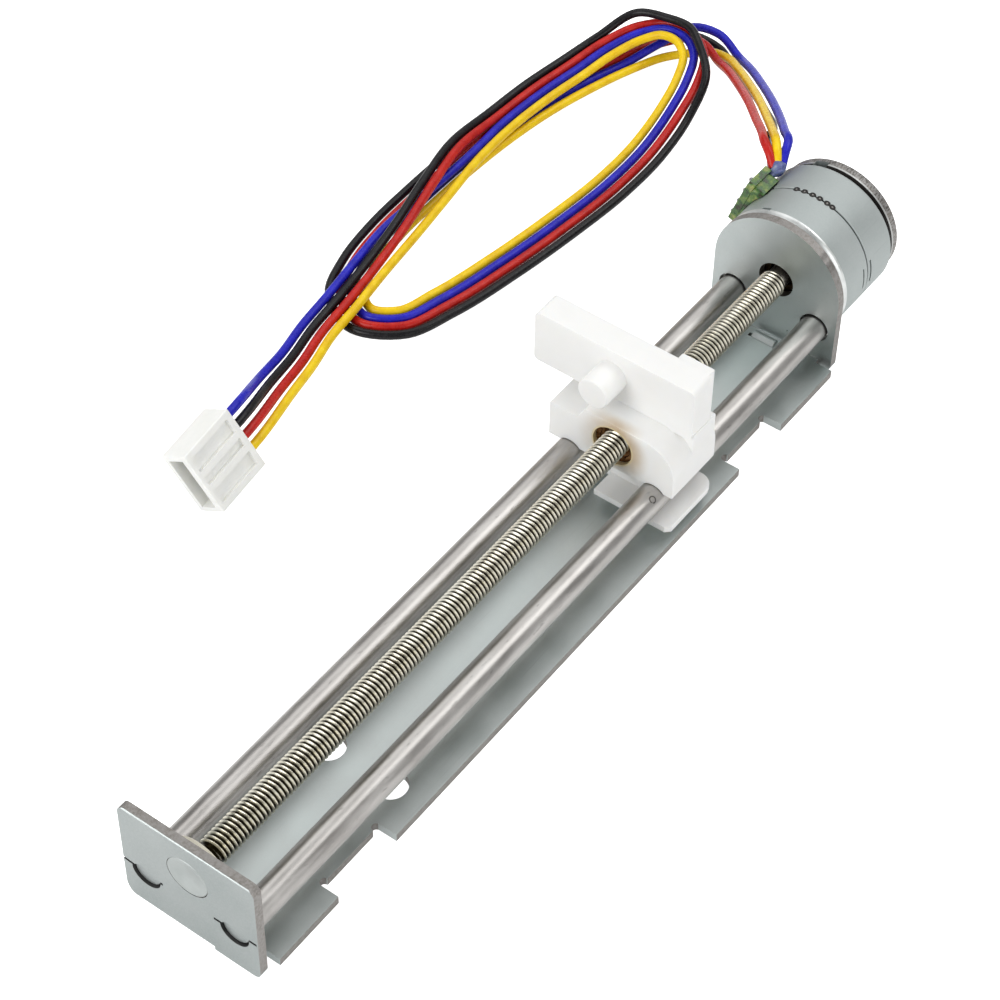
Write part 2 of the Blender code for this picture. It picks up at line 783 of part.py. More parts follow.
def make_rear_cup(parts, cutters):
    x0 = REAR_CUP_START
    x1 = REAR_CUP_END
    inner = CUP_RADIUS - CUP_WALL
    edge = CUP_EDGE
    bend = arc((x1 - edge, CUP_RADIUS - edge), edge, 90, 0, 5)
    outline = (
        [(x0, inner), (x0, CUP_RADIUS)]
        + bend
        + [
            (x1, CUP_BORE),
            (x1 - CUP_FLOOR, CUP_BORE),
            (x1 - CUP_FLOOR, inner),
            (x0, inner),
        ]
    )
    mesh = tube_mesh("motor_cup_rear", outline, 72)
    cup = new_object("motor_cup_rear", mesh, "zinc_plated_steel", parts)
    start = x0 + POLE_PLATE + GAP
    add_teeth(cup, "join_rear_tooth", start, x1 - CUP_FLOOR / 2, 18, cutters)
    add_boolean(cup, window_mesh("cut_rear_window"), "DIFFERENCE", cutters)
    smooth_round(cup)


def make_pole_plate(name, x0, tooth_end, offset, parts, cutters):
    """An inner pole plate: a flat ring with teeth bent towards its cup."""
    x1 = x0 + POLE_PLATE
    outline = ring_outline(x0, x1, TOOTH_INNER, POLE_PLATE_RADIUS)
    mesh = tube_mesh(name, outline, 64)
    plate = new_object(name, mesh, "zinc_plated_steel", parts)
    middle = (x0 + x1) / 2
    low, high = sorted((middle, tooth_end))
    add_teeth(plate, "join_" + name, low, high, offset, cutters)
    smooth_round(plate)


def make_winding(side, x0, x1, parts):
    """A bobbin between a cup's floor and its pole plate, with its coil."""
    inner = BOBBIN_INNER
    outer = BOBBIN_FLANGE_RADIUS
    drum = inner + BOBBIN_WALL
    flange = BOBBIN_FLANGE
    outline = [
        (x0, inner),
        (x0, outer),
        (x0 + flange, outer),
        (x0 + flange, drum),
        (x1 - flange, drum),
        (x1 - flange, outer),
        (x1, outer),
        (x1, inner),
        (x0, inner),
    ]
    name = "bobbin_" + side
    bobbin = new_object(name, tube_mesh(name, outline, 56), "cream_plastic", parts)
    smooth_round(bobbin)
    coil_outline = ring_outline(
        x0 + flange + GAP, x1 - flange - GAP, drum + GAP, COIL_RADIUS
    )
    name = "coil_" + side
    coil = new_object(name, tube_mesh(name, coil_outline, 56), "copper", parts)
    smooth_round(coil)


def make_stator(parts, cutters):
    make_front_cup(parts, cutters)
    make_rear_cup(parts, cutters)
    front_plate = FRONT_CUP_END - POLE_PLATE
    rear_plate = REAR_CUP_START
    half_step = 180 / TOOTH_COUNT
    front_floor = MOTOR_FRONT + CUP_FLOOR + GAP
    rear_floor = REAR_CUP_END - CUP_FLOOR - GAP
    make_pole_plate("pole_plate_front", front_plate, front_floor, half_step, parts, cutters)
    make_pole_plate("pole_plate_rear", rear_plate, rear_floor, half_step + 18, parts, cutters)
    make_winding("front", front_floor, front_plate - GAP, parts)
    make_winding("rear", rear_plate + POLE_PLATE + GAP, rear_floor, parts)


def make_bushes(parts):
    starts = (
        ("front_bush", MOTOR_FRONT),
        ("rear_bush", REAR_CUP_END - BUSH_LENGTH + CUP_FLOOR),
    )
    for name, x0 in starts:
        outline = ring_outline(x0, x0 + BUSH_LENGTH, SHAFT_RADIUS + GAP, BUSH_RADIUS)
        bush = new_object(name, tube_mesh(name, outline, 48), "sintered_bronze", parts)
        smooth_round(bush)


def make_rear_cover(parts, cutters):
    x0 = COVER_START
    x1 = COVER_END
    outer = REAR_COVER_RADIUS
    rim = outer - REAR_COVER_RIM
    floor = x1 - REAR_COVER_FLOOR
    outline = [
        (x0, rim),
        (x0, outer),
        (x1 - 0.3, outer),
        (x1, outer - 0.3),
        (x1, REAR_COVER_HOLE),
        (floor, REAR_COVER_HOLE),
        (floor, rim),
        (x0, rim),
    ]
    mesh = tube_mesh("rear_cover", outline, 72)
    cover = new_object("rear_cover", mesh, "zinc_plated_steel", parts)
    notch = [(-1.1, rim - 0.5), (1.1, rim - 0.5), (1.1, outer + 1), (-1.1, outer + 1)]
    turn = Matrix.Rotation(math.radians(24), 4, "Z")
    matrix = facing_x() @ turn
    mesh = slab_mesh("cut_cover_notch", [notch], x0 - 0.5, x0 + 0.8, matrix)
    add_boolean(cover, mesh, "DIFFERENCE", cutters)
    smooth_round(cover)


def make_thrust_spring(parts):
    thickness, width, length = SPRING_SIZE
    x0 = COVER_END - REAR_COVER_FLOOR - GAP - thickness
    outline = rounded_rectangle(-width / 2, -length / 2, width / 2, length / 2, 0.6)
    mesh = slab_mesh("thrust_spring", [outline], x0, x0 + thickness, facing_x())
    new_object("thrust_spring", mesh, "spring_steel", parts)


# Terminal board

def pin_places():
    return [(number - 1.5) * PIN_PITCH for number in range(4)]


def make_terminals(parts):
    holes = [circle((0, place), PIN_HOLE, 20) for place in pin_places()]
    half = BLOCK_LENGTH / 2
    block = rectangle(-BLOCK_WIDTH / 2, -half, BLOCK_WIDTH / 2, half)
    top = BOARD_DISTANCE - GAP
    mesh = slab_mesh(
        "terminal_block", [block] + holes, top - BLOCK_DEPTH, top, facing_board()
    )
    new_object("terminal_block", mesh, "cream_plastic", parts)
    half = BOARD_LENGTH / 2
    board = rounded_rectangle(-BOARD_WIDTH / 2, -half, BOARD_WIDTH / 2, half, 0.3, 4)
    top = BOARD_DISTANCE + BOARD_THICKNESS
    mesh = slab_mesh(
        "terminal_board", [board] + holes, BOARD_DISTANCE, top, facing_board()
    )
    new_object("terminal_board", mesh, "board_green", parts)
    matrix = facing_board()
    low = BOARD_DISTANCE - GAP - BLOCK_DEPTH + 0.1
    high = BOARD_DISTANCE + BOARD_THICKNESS + PIN_REACH
    for number, place in enumerate(pin_places()):
        start = matrix @ (Vector((0, place, low)) * MM) / MM
        end = matrix @ (Vector((0, place, high)) * MM) / MM
        name = "terminal_pin_" + str(number + 1)
        pin = new_object(name, rod_mesh(name, start, end, PIN_RADIUS, 16), "tin", parts)
        smooth_round(pin)


# Slider

def block_outline():
    """The block's front face: low left wing, round right shoulder."""
    radius = SHOULDER_RADIUS
    shoulder = arc(
        (BLOCK_RIGHT + radius, BODY_TOP - radius), radius, 90, 180, 10
    )
    left = [
        (BLOCK_LEFT, BLOCK_UNDER),
        (BLOCK_LEFT, WING_TOP),
        (BODY_LEFT + 0.9, WING_TOP),
        (BODY_LEFT, BODY_TOP),
    ]
    return left + shoulder + [(BLOCK_RIGHT, BLOCK_UNDER)]


def foot_outline():
    """The foot under the right rod, seen from above."""
    front = SLIDER_FRONT - FOOT_FRONT
    back = SLIDER_FRONT + FOOT_BACK
    corner = FOOT_CORNER
    return (
        [(front, FOOT_LEFT), (front, FOOT_RIGHT + 0.5), (front + 0.5, FOOT_RIGHT)]
        + arc((back - corner, FOOT_RIGHT + corner), corner, 270, 360, 8)
        + [(back, FOOT_LEFT)]
    )


def slider_box(name, x0, x1, y0, y1, z0, z1):
    start = at(SLIDER_FRONT + x0, min(y0, y1), z0)
    end = at(SLIDER_FRONT + x1, max(y0, y1), z1)
    return box_mesh(name, start, end)


def make_slider(parts, cutters):
    x0 = SLIDER_FRONT
    x1 = SLIDER_FRONT + SLIDER_LENGTH
    mesh = slab_mesh("slider_body", [block_outline()], x0, x1, facing_x())
    body = new_object("slider_body", mesh, "white_acetal", parts)
    face_end = FACE_X + FACE_THICKNESS
    under_face = slider_box(
        "join_under_face",
        FACE_X + FACE_INSET,
        SLIDER_LENGTH - STEP,
        BLOCK_RIGHT + STEP,
        BODY_LEFT - STEP,
        0,
        BODY_TOP + STEP,
    )
    face_outline = rounded_rectangle(
        FACE_RIGHT, FACE_BOTTOM, FACE_LEFT, FACE_TOP, FACE_CORNER
    )
    face = slab_mesh(
        "join_face", [face_outline], x0 + FACE_X, x0 + face_end, facing_x()
    )
    rib = slider_box(
        "join_back_rib",
        face_end - 0.5,
        SLIDER_LENGTH - 2 * STEP,
        BACK_RIB[0],
        BACK_RIB[1],
        BODY_TOP - 0.5,
        FACE_TOP - BACK_RIB_DROP,
    )
    web = slider_box(
        "join_web",
        STEP,
        FOOT_BACK - 0.5,
        -WEB_HALF_WIDTH,
        WEB_HALF_WIDTH,
        FOOT_TOP - FOOT_THICKNESS / 2,
        BLOCK_UNDER + 0.5,
    )
    foot_level = AXIS_HEIGHT + FOOT_TOP
    foot = slab_mesh(
        "join_foot",
        [foot_outline()],
        foot_level - FOOT_THICKNESS,
        foot_level,
        facing_z(),
    )
    stud = rod_mesh(
        "join_stud",
        at(x0 + FACE_X - STUD_LENGTH, STUD_Y, STUD_Z),
        at(x0 + FACE_X + 1, STUD_Y, STUD_Z),
        STUD_RADIUS,
        32,
    )
    for mesh in (under_face, face, rib, web, foot, stud):
        add_boolean(body, mesh, "UNION", cutters)
    for side, sign in (("left", 1), ("right", -1)):
        groove = rod_mesh(
            "cut_groove_" + side,
            at(x0 - 4, sign * ROD_Y, -ROD_DROP),
            at(x1 + 4, sign * ROD_Y, -ROD_DROP),
            ROD_RADIUS + GAP,
            40,
        )
        add_boolean(body, groove, "DIFFERENCE", cutters)
    pocket = rod_mesh(
        "cut_nut_pocket", at(x0 - 4), at(x1 + 4), NUT_POCKET_RADIUS, 48
    )
    add_boolean(body, pocket, "DIFFERENCE", cutters)


def make_nut(parts):
    start = SLIDER_FRONT + NUT_INSET
    outline = ring_outline(start, start + NUT_LENGTH, NUT_BORE, NUT_RADIUS)
    nut = new_object("brass_nut", tube_mesh("brass_nut", outline, 40), "brass", parts)
    smooth_round(nut)


# Wires

def connector_frame():
    """Unit vectors of the leaning connector: aim, across, up."""
    aim = Vector(CONNECTOR_AIM).normalized()
    tilt = math.radians(CONNECTOR_TILT)
    side = aim.cross(Vector((0, 0, 1))).normalized() * -1
    top = aim.cross(side)
    across = side * math.cos(tilt) - top * math.sin(tilt)
    return aim, across, aim.cross(across)


def connector_centre():
    """The middle of the housing's back, its lowest corner on the ground."""
    aim, across, up = connector_frame()
    drop = abs(across.z) * HOUSING_WIDTH / 2 + abs(up.z) * HOUSING_HEIGHT / 2
    drop += max(-aim.z, 0.0) * HOUSING_LENGTH
    return Vector((*CONNECTOR_BACK, drop + 0.02))


def entry_points(number):
    """A wire's last points, straight into the connector's back."""
    aim, across, up = connector_frame()
    centre = connector_centre()
    offset = across * (number - 1.5) * CONNECTOR_PITCH
    points = []
    for distance in (-1.8, ENTRY_DEPTH - GAP):
        points.append(centre + offset + aim * distance)
    return points


def wire_stations(number):
    """The places one wire passes, beside the bundle's middle line."""
    stations = []
    for index, (middle, lanes, lifts) in enumerate(ROUTE):
        before = Vector(ROUTE[max(index - 1, 0)][0])
        after = Vector(ROUTE[min(index + 1, len(ROUTE) - 1)][0])
        heading = (after - before).to_2d().normalized()
        left = Vector((-heading.y, heading.x, 0.0))
        lane = lanes[number] * WIRE_PITCH
        lift = Vector((0, 0, lifts[number]))
        stations.append(Vector(middle) + left * lane + lift)
    return stations + entry_points(number)


def slope(before, point, after):
    """The curve's direction at a point, allowing for uneven spacing."""
    first = (point - before).length
    second = (after - point).length
    rise = (point - before) * second / first + (after - point) * first / second
    return rise / (first + second)


def smooth_points(stations, steps):
    """A smooth curve through the stations."""
    padded = [2 * stations[0] - stations[1]] + stations
    padded.append(2 * stations[-1] - stations[-2])
    points = []
    for index in range(1, len(padded) - 2):
        a, b, c, d = padded[index - 1:index + 3]
        length = (c - b).length
        start = slope(a, b, c) * length
        end = slope(b, c, d) * length
        for step in range(steps):
            t = step / steps
            point = b * (2 * t - 3) * t * t + b
            point += c * (3 - 2 * t) * t * t
            point += start * t * (1 - t) * (1 - t)
            point -= end * t * t * (1 - t)
            points.append(point)
    points.append(stations[-1])
    return points


def even_points(points, count):
    """The same curve with fewer points, closer together in the bends."""
    travel = [0.0]
    heading = points[1] - points[0]
    for first, second in zip(points, points[1:]):
        step = second - first
        turn = step.angle(heading, 0.0)
        travel.append(travel[-1] + step.length + turn * WIRE_BEND_SHARE)
        heading = step
    result = []
    index = 0
    for number in range(count):
        target = travel[-1] * number / (count - 1)
        while index < len(points) - 2 and travel[index + 1] < target:
            index += 1
        span = travel[index + 1] - travel[index]
        share = (target - travel[index]) / span
        result.append(points[index].lerp(points[index + 1], share))
    return result


def make_wires(parts):
    for number, colour in enumerate(WIRES):
        points = smooth_points(wire_stations(number), WIRE_STEPS)
        points = even_points(points, WIRE_POINTS)
        name = "wire_" + colour
        curve = bpy.data.curves.new(name, "CURVE")
        curve.dimensions = "3D"
        curve.bevel_depth = WIRE_RADIUS * MM
        curve.bevel_resolution = 2
        curve.use_fill_caps = True
        spline = curve.splines.new("POLY")
        spline.points.add(len(points) - 1)
        for place, point in zip(spline.points, points):
            place.co = (*(point * MM), 1.0)
            place.radius = 1.0
        spline.use_smooth = True
        wire = bpy.data.objects.new(name, curve)
        curve.materials.append(make_material(colour + "_pvc"))
        parts.objects.link(wire)


# Connector

def connector_matrix():
    """Local X along the wires' way in, Y across, Z up out of the housing."""
    aim, across, up = connector_frame()
    matrix = Matrix.Translation(connector_centre() * MM)
    for row in range(3):
        matrix[row][0] = aim[row]
        matrix[row][1] = across[row]
        matrix[row][2] = up[row]
    return matrix


def connector_box(name, low, high):
    mesh = box_mesh(name, Vector(low), Vector(high))
    mesh.transform(connector_matrix())
    return mesh


def make_connector(parts, cutters):
    half_width = HOUSING_WIDTH / 2
    half_height = HOUSING_HEIGHT / 2
    mesh = connector_box(
        "connector_housing",
        (0, -half_width, -half_height),
        (HOUSING_LENGTH, half_width, half_height),
    )
    housing = new_object("connector_housing", mesh, "connector_nylon", parts)
    places = [(number - 1.5) * CONNECTOR_PITCH for number in range(4)]
    half_mouth = half_width - HOUSING_WALL
    cuts = [
        connector_box(
            "cut_mouth",
            (HOUSING_LENGTH - MOUTH_DEPTH, -half_mouth, -MOUTH_HEIGHT / 2),
            (HOUSING_LENGTH + 1, half_mouth, MOUTH_HEIGHT / 2),
        )
    ]
    entry_half = 1.5 * CONNECTOR_PITCH + WIRE_RADIUS + ENTRY_MARGIN
    entry = rounded_rectangle(
        -entry_half,
        -WIRE_RADIUS - ENTRY_MARGIN,
        entry_half,
        WIRE_RADIUS + ENTRY_MARGIN,
        WIRE_RADIUS + ENTRY_MARGIN - 0.02,
        6,
    )
    turn = Matrix(((0, 0, 1, 0), (1, 0, 0, 0), (0, 1, 0, 0), (0, 0, 0, 1)))
    cuts.append(
        slab_mesh("cut_entry", [entry], -1, ENTRY_DEPTH, connector_matrix() @ turn)
    )
    groove = HOUSING_GROOVE / 2
    recess = groove + HOUSING_RIB
    edge = half_width - HOUSING_EDGE
    spans = ((-edge, -recess), (-groove, groove), (recess, edge))
    for number, (low, high) in enumerate(spans):
        cuts.append(
            connector_box(
                "cut_recess_" + str(number + 1),
                (0.8, low, half_height - HOUSING_RECESS),
                (HOUSING_LENGTH - 0.5, high, half_height + 1),
            )
        )
    for number, place in enumerate(places):
        half_hole = CONTACT_SIZE / 2 + GAP
        cuts.append(
            connector_box(
                "cut_contact_hole_" + str(number + 1),
                (ENTRY_DEPTH - 0.5, place - half_hole, -half_hole),
                (HOUSING_LENGTH - MOUTH_DEPTH + 0.5, place + half_hole, half_hole),
            )
        )
    for mesh in cuts:
        add_boolean(housing, mesh, "DIFFERENCE", cutters)
    half = CONTACT_SIZE / 2
    start = ENTRY_DEPTH + 0.1
    for number, place in enumerate(places):
        name = "connector_contact_" + str(number + 1)
        mesh = connector_box(
            name,
            (start, place - half, -half),
            (start + CONTACT_LENGTH, place + half, half),
        )
        new_object(name, mesh, "tin", parts)


clear_scene()
PARTS = make_collection("stepper_linear_slide")
CUTTERS = make_collection("cutters")
make_base_frame(PARTS, CUTTERS)
make_rods(PARTS)
make_end_bearing(PARTS)
make_lead_screw(PARTS)
make_rotor(PARTS)
make_stator(PARTS, CUTTERS)
make_bushes(PARTS)
make_rear_cover(PARTS, CUTTERS)
make_thrust_spring(PARTS)
make_terminals(PARTS)
make_slider(PARTS, CUTTERS)
make_nut(PARTS)
make_wires(PARTS)
make_connector(PARTS, CUTTERS)
bpy.context.view_layer.update()
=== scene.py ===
"""Stepper motor linear slide, as it looks in a plain studio.

X runs along the screw from the front plate to the motor, Y to the left,
Z up. Sizes are in millimetres and become metres when each mesh is made.
"""

import math

import bmesh
import bpy
from mathutils import Matrix, Vector


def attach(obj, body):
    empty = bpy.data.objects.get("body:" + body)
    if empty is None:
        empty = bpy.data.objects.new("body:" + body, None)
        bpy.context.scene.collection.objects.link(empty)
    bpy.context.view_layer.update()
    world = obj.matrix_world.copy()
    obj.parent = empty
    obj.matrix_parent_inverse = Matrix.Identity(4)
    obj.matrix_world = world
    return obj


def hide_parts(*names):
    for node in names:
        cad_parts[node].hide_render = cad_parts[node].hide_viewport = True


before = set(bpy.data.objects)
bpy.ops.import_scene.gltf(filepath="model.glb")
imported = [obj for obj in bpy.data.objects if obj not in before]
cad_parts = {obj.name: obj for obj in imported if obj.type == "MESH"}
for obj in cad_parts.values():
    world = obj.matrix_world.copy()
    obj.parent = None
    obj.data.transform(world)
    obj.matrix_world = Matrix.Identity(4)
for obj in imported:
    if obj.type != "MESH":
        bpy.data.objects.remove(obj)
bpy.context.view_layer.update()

MM = 0.001

# Sheet frame: base, front plate, motor plate and tabs
SHEET = 1.0
FRAME_LENGTH = 94.4
FRONT_X = -FRAME_LENGTH / 2
AXIS_HEIGHT = 9.0
BEND_OUTER = 0.62
BEND_INNER = 0.1
PLATE_HALF_WIDTH = 7.7
PLATE_TOP = AXIS_HEIGHT + 4.2
PLATE_CORNER = 0.8
PLATE_FOOT_CORNER = 2.0
MOTOR_PLATE_X = FRAME_LENGTH - SHEET
MOTOR_PLATE_RADIUS = 7.6
BASE_HALF_WIDTH = 6.1
TAB_HALF_WIDTH = 8.1
TABS = ((2.2, 10.4), (18.8, 75.3), (83.1, 92.8))
NOTCH_RELIEF = 0.45
BASE_HOLE_RADIUS = 1.75
BASE_HOLES = ((22.95, 3.2), (22.95, -4.15))
FLAP_START = -2.45
FLAP_SIZE = 0.74

# Small tab in the bend before the motor, seen from the side, and its pit
BEND_TAB = ((91.9, 0.9), (91.95, 1.06), (92.4, 1.4), (92.62, 1.4), (93.0, 1.15), (93.0, 0.9))
BEND_TAB_ENDS = (-1.41, 1.25)
TAB_PIT = (91.95, 1.45, 92.4, 1.85)
FRONT_DENT = (1.5, -8.84, 1.95, -8.66)
PLATE_MARKS = ((-6.32, -2.98, -6.08, -2.72), (-2.14, -6.3, -1.94, -6.1))
SHEET_EDGE = 0.07
FRONT_EDGE = 0.26
SIDES = (("left", 1), ("right", -1))

# How far a cutter reaches past the face that it cuts
CUT = 1.0

# Guide rods and the openings in front of them
ROD_RADIUS = 1.5
ROD_Y = 5.05
ROD_DROP = 3.94
ROD_MARK = (15.29, -5.92, 6.28)
ROD_MARK_RADIUS = 0.34
ROD_SKIN = 0.2
ROD_CLEARANCE = 0.1
ROD_END_EDGE = 0.14
MOTOR_ROD_CLEARANCE = 0.22
MOTOR_ROD_GAP = 0.5
LENS_RADIUS = 1.64
LENS_ARCH = (
    (1.5, 0.2), (1.28, 0.5), (0.95, 0.72), (0.5, 0.78),
    (0.0, 0.68), (-0.5, 0.46), (-1.0, 0.28), (-1.5, 0.2),
)
SLITS = {
    "left": ((8.0, -3.5), (3.15, -3.9)),
    "right": ((-2.72, -3.78), (-7.55, -3.7)),
}
SLIT_HALF_WIDTH = 0.16
SLIT_DEPTH = 0.6

# Screw, nut and end bearing
SCREW_RADIUS = 1.475
SCREW_ROOT = 1.17
PITCH = 0.5
THREAD_STEPS = 30

# One turn of the thread as (share of the pitch, share of the depth)
THREAD_PROFILE = (
    (0.0, 0.0), (0.14, 0.03), (0.36, 0.78), (0.44, 0.97),
    (0.54, 1.0), (0.62, 0.88), (0.86, 0.05),
)
SCREW_THREAD = (2.5, 92.9)
SCREW_ENDS = (0.75, 104.6)
JOURNAL_RADIUS = 0.9
SHAFT_RADIUS = 1.2
NUT_RADIUS = 2.43
NUT_INSET = 0.55
NUT_LENGTH = 6.3
NUT_BORE = 1.8
NUT_CREST = 1.58
BEARING_RADIUS = 2.3
BEARING_FLANGE = 3.3
BEARING_BORE = 1.2
BEARING_HOLE = 2.33
BEARING_SHIFT = 0.06
MOTOR_PLATE_HOLE = 2.08

# Motor
CUP_RADIUS = 7.5
CUP_LENGTH = 4.5
MOTOR_FRONT = FRAME_LENGTH + 0.3
SEAM_X = MOTOR_FRONT + CUP_LENGTH + 0.15
REAR_CUP_END = SEAM_X + 0.15 + CUP_LENGTH
COVER_START = REAR_CUP_END + 0.3
COVER_END = COVER_START + 1.7
REAR_COVER_RADIUS = 7.1

# Weld spots on the seam, in degrees round the screw's axis
WELD_ANGLES = (74.3, 81.8, 89.3, 96.0, 103.1, 108.2)
WELD_RADIUS = 0.36
SEAM_HALF_WIDTH = 0.09
CUP_FRONT_EDGE = 0.78
CUP_REAR_EDGE = 0.3
CUP_INSIDE = 7.0
CUP_FLOOR = 0.6
CUP_HOLE = 3.0
CUP_LIP = 0.08

# The opening in the cups' side behind the terminal board
WINDOW = (-1.1, -3.9, 1.1, 3.9)
WINDOW_DEPTHS = (5.2, 9.0)


# Pressed lines: place from the seam, start and end in degrees, width
FRONT_CUP_GROOVES = ((-0.85, 166.0, 186.0, 0.2), (-4.0, 62.0, 70.0, 0.3))
REAR_CUP_GROOVES = ((0.52, 164.0, 186.0, 0.28),)
GROOVE_DEPTH = 0.35
COVER_WALL = 0.5
COVER_RIM = 0.7
COVER_EDGE = 0.35
COVER_HOLE = 0.8
NOTCH_TURN = -20.0
NOTCH_HALF_WIDTH = 0.85
NOTCH_DEPTH = 0.95

# Terminal board
BOARD_TILT = 19.0
BOARD_DISTANCE = 7.85
BOARD_THICKNESS = 0.8
BOARD_LENGTH = 8.4
BOARD_FOOT = -2.3
BOARD_WIDTH = 3.6
PIN_PITCH = 1.9
PAD_RADIUS = 0.6
PAD_THICKNESS = 0.04
SOLDER_CONE = (
    (0, 0.02), (0.5, 0.02), (0.47, 0.09), (0.36, 0.17),
    (0.26, 0.28), (0.2, 0.4), (0.13, 0.47), (0, 0.5),
)
RESIN = (-1.7, -2.9, 1.7, 3.9)
RESIN_START = 6.6
GLUE_PLACE = (54.75, 6.1, 14.95)
GLUE_SIZE = (1.25, 0.95, 0.8)
GLUE_TURN = -42.0

# Slider
SLIDER_FRONT = 63.8
SLIDER_LENGTH = 7.4
BLOCK_LEFT = 7.6
BLOCK_RIGHT = -7.3
BLOCK_UNDER = -2.9
WING_TOP = 1.5
BODY_TOP = 3.0
BODY_LEFT = 3.4
SHOULDER_RADIUS = 3.6
FACE_X = 3.0
FACE_THICKNESS = 3.2
FACE_BOTTOM = 2.7
FACE_TOP = 9.2
FACE_LEFT = 11.8
FACE_RIGHT = -7.1
FACE_CORNER = 0.6
FOOT_FRONT = -1.3
FOOT_BACK = 7.0
FOOT_SIDE = -8.0
FOOT_CORNER = 1.6
FOOT_TOP = 3.2
FOOT_THICKNESS = 0.7
WEB_FRONT = 1.6
STUD_RADIUS = 1.75
STUD_LENGTH = 3.3
STUD_Y = 2.45
STUD_Z = 6.0
NUT_POCKET_RADIUS = 2.45
NUT_LIP_RADIUS = 2.3

# Wires and connector
WIRE_RADIUS = 0.5
WIRE_PITCH = 2 * WIRE_RADIUS + 0.18
WIRE_POINTS = 220
CONNECTOR_BACK = (-1.9, 33.0)
CONNECTOR_AIM = (-0.99, -0.06, -0.10)
CONNECTOR_TILT = 58.0
CONNECTOR_PITCH = 1.5
HOUSING_LENGTH = 7.2
HOUSING_WIDTH = 7.5
HOUSING_HEIGHT = 3.8
HOUSING_EDGE = 0.18
MOUTH_WALL = 0.65
MOUTH_HALF_HEIGHT = 1.1
MOUTH_DEPTH = 2.8
RECESS_DEPTH = 0.5
CONTACT_HOLE = 0.4
ENTRY_DEPTH = 1.2
ENTRY_GAP = 0.12
GAP = 0.3

# Camera, where the photo was taken from
CAMERA_PLACE = Vector((-146.316, -104.251, 216.477))
CAMERA_AIM = Vector((0.54065, 0.39067, -0.74503))
CAMERA_ROLL = 0.985
CAMERA_LENS = 103.81

# Studio: each lamp's name, place, aim, size and power
LAMPS = (
    ("key", (270, -115, 405), (0, 10, 0), (260, 220), 0.5),
    ("back", (60, 260, 420), (0, 10, 0), (250, 200), 0.15),
    ("front", (-350, 130, 250), (0, 10, 0), (300, 300), 1.15),
    ("right", (-40, -380, 180), (0, 0, 0), (300, 240), 0.5),
    ("sky", (280, 200, 400), (0, 0, 0), (340, 340), 0.38),
)
WORLD_STRENGTH = 0.42
FLOOR_IN_MIRRORS = 0.3
FLOOR_SIZE = 4.0

# Each wire's place in the flat bundle, in wire pitches to the left
WIRES = ("blue", "black", "red", "yellow")
EXIT = (-0.9, 0.65, 1.15, 0.15)
RUN = (-1.15, -0.55, 1.05, 0.0)
CROSS = (-0.6, -1.0, 1.0, 0.6)
PASS = (-0.3, -1.5, 0.2, 1.3)
LAND = (0.5, -1.55, -0.5, 1.5)
LOOP = (0.5, -1.55, -0.5, 1.55)
RISE = (0.45, -1.4, -0.6, 1.45)
TURN = (0.2, -0.3, -0.8, 1.25)
TOP = (0.5, -1.5, -0.5, 1.5)
TUCK = (-0.5, -1.0, 0.0, 1.5)
END = (-1.5, -0.5, 0.5, 1.5)

# Where each wire comes out of the glue at the board's corner
ROOTS = (
    (55.08, 5.69, 14.92),
    (54.52, 6.41, 14.68),
    (54.52, 6.33, 15.16),
    (54.84, 6.01, 15.24),
)
ROOT_RISE = 0.3

# Each wire's height above the bundle
LEVEL = (0.0, 0.0, 0.0, 0.0)
UNDER = (0.0, -1.35, 0.0, 0.0)
CLIMB = (1.9, -0.6, 1.1, -0.1)
ABOVE = (2.4, 0.0, 1.2, 0.0)
SETTLE = (1.25, 0.0, 0.1, 0.0)
STACK = (0.0, 1.2, 0.0, 0.0)
PAIR = (0.0, 0.9, 0.9, 0.0)
RIDGE = (0.0, 1.2, 1.2, 0.0)
FAN = (0.2, 0.1, -0.1, -0.2)
SPREAD = (0.5, 0.2, -0.2, -0.5)

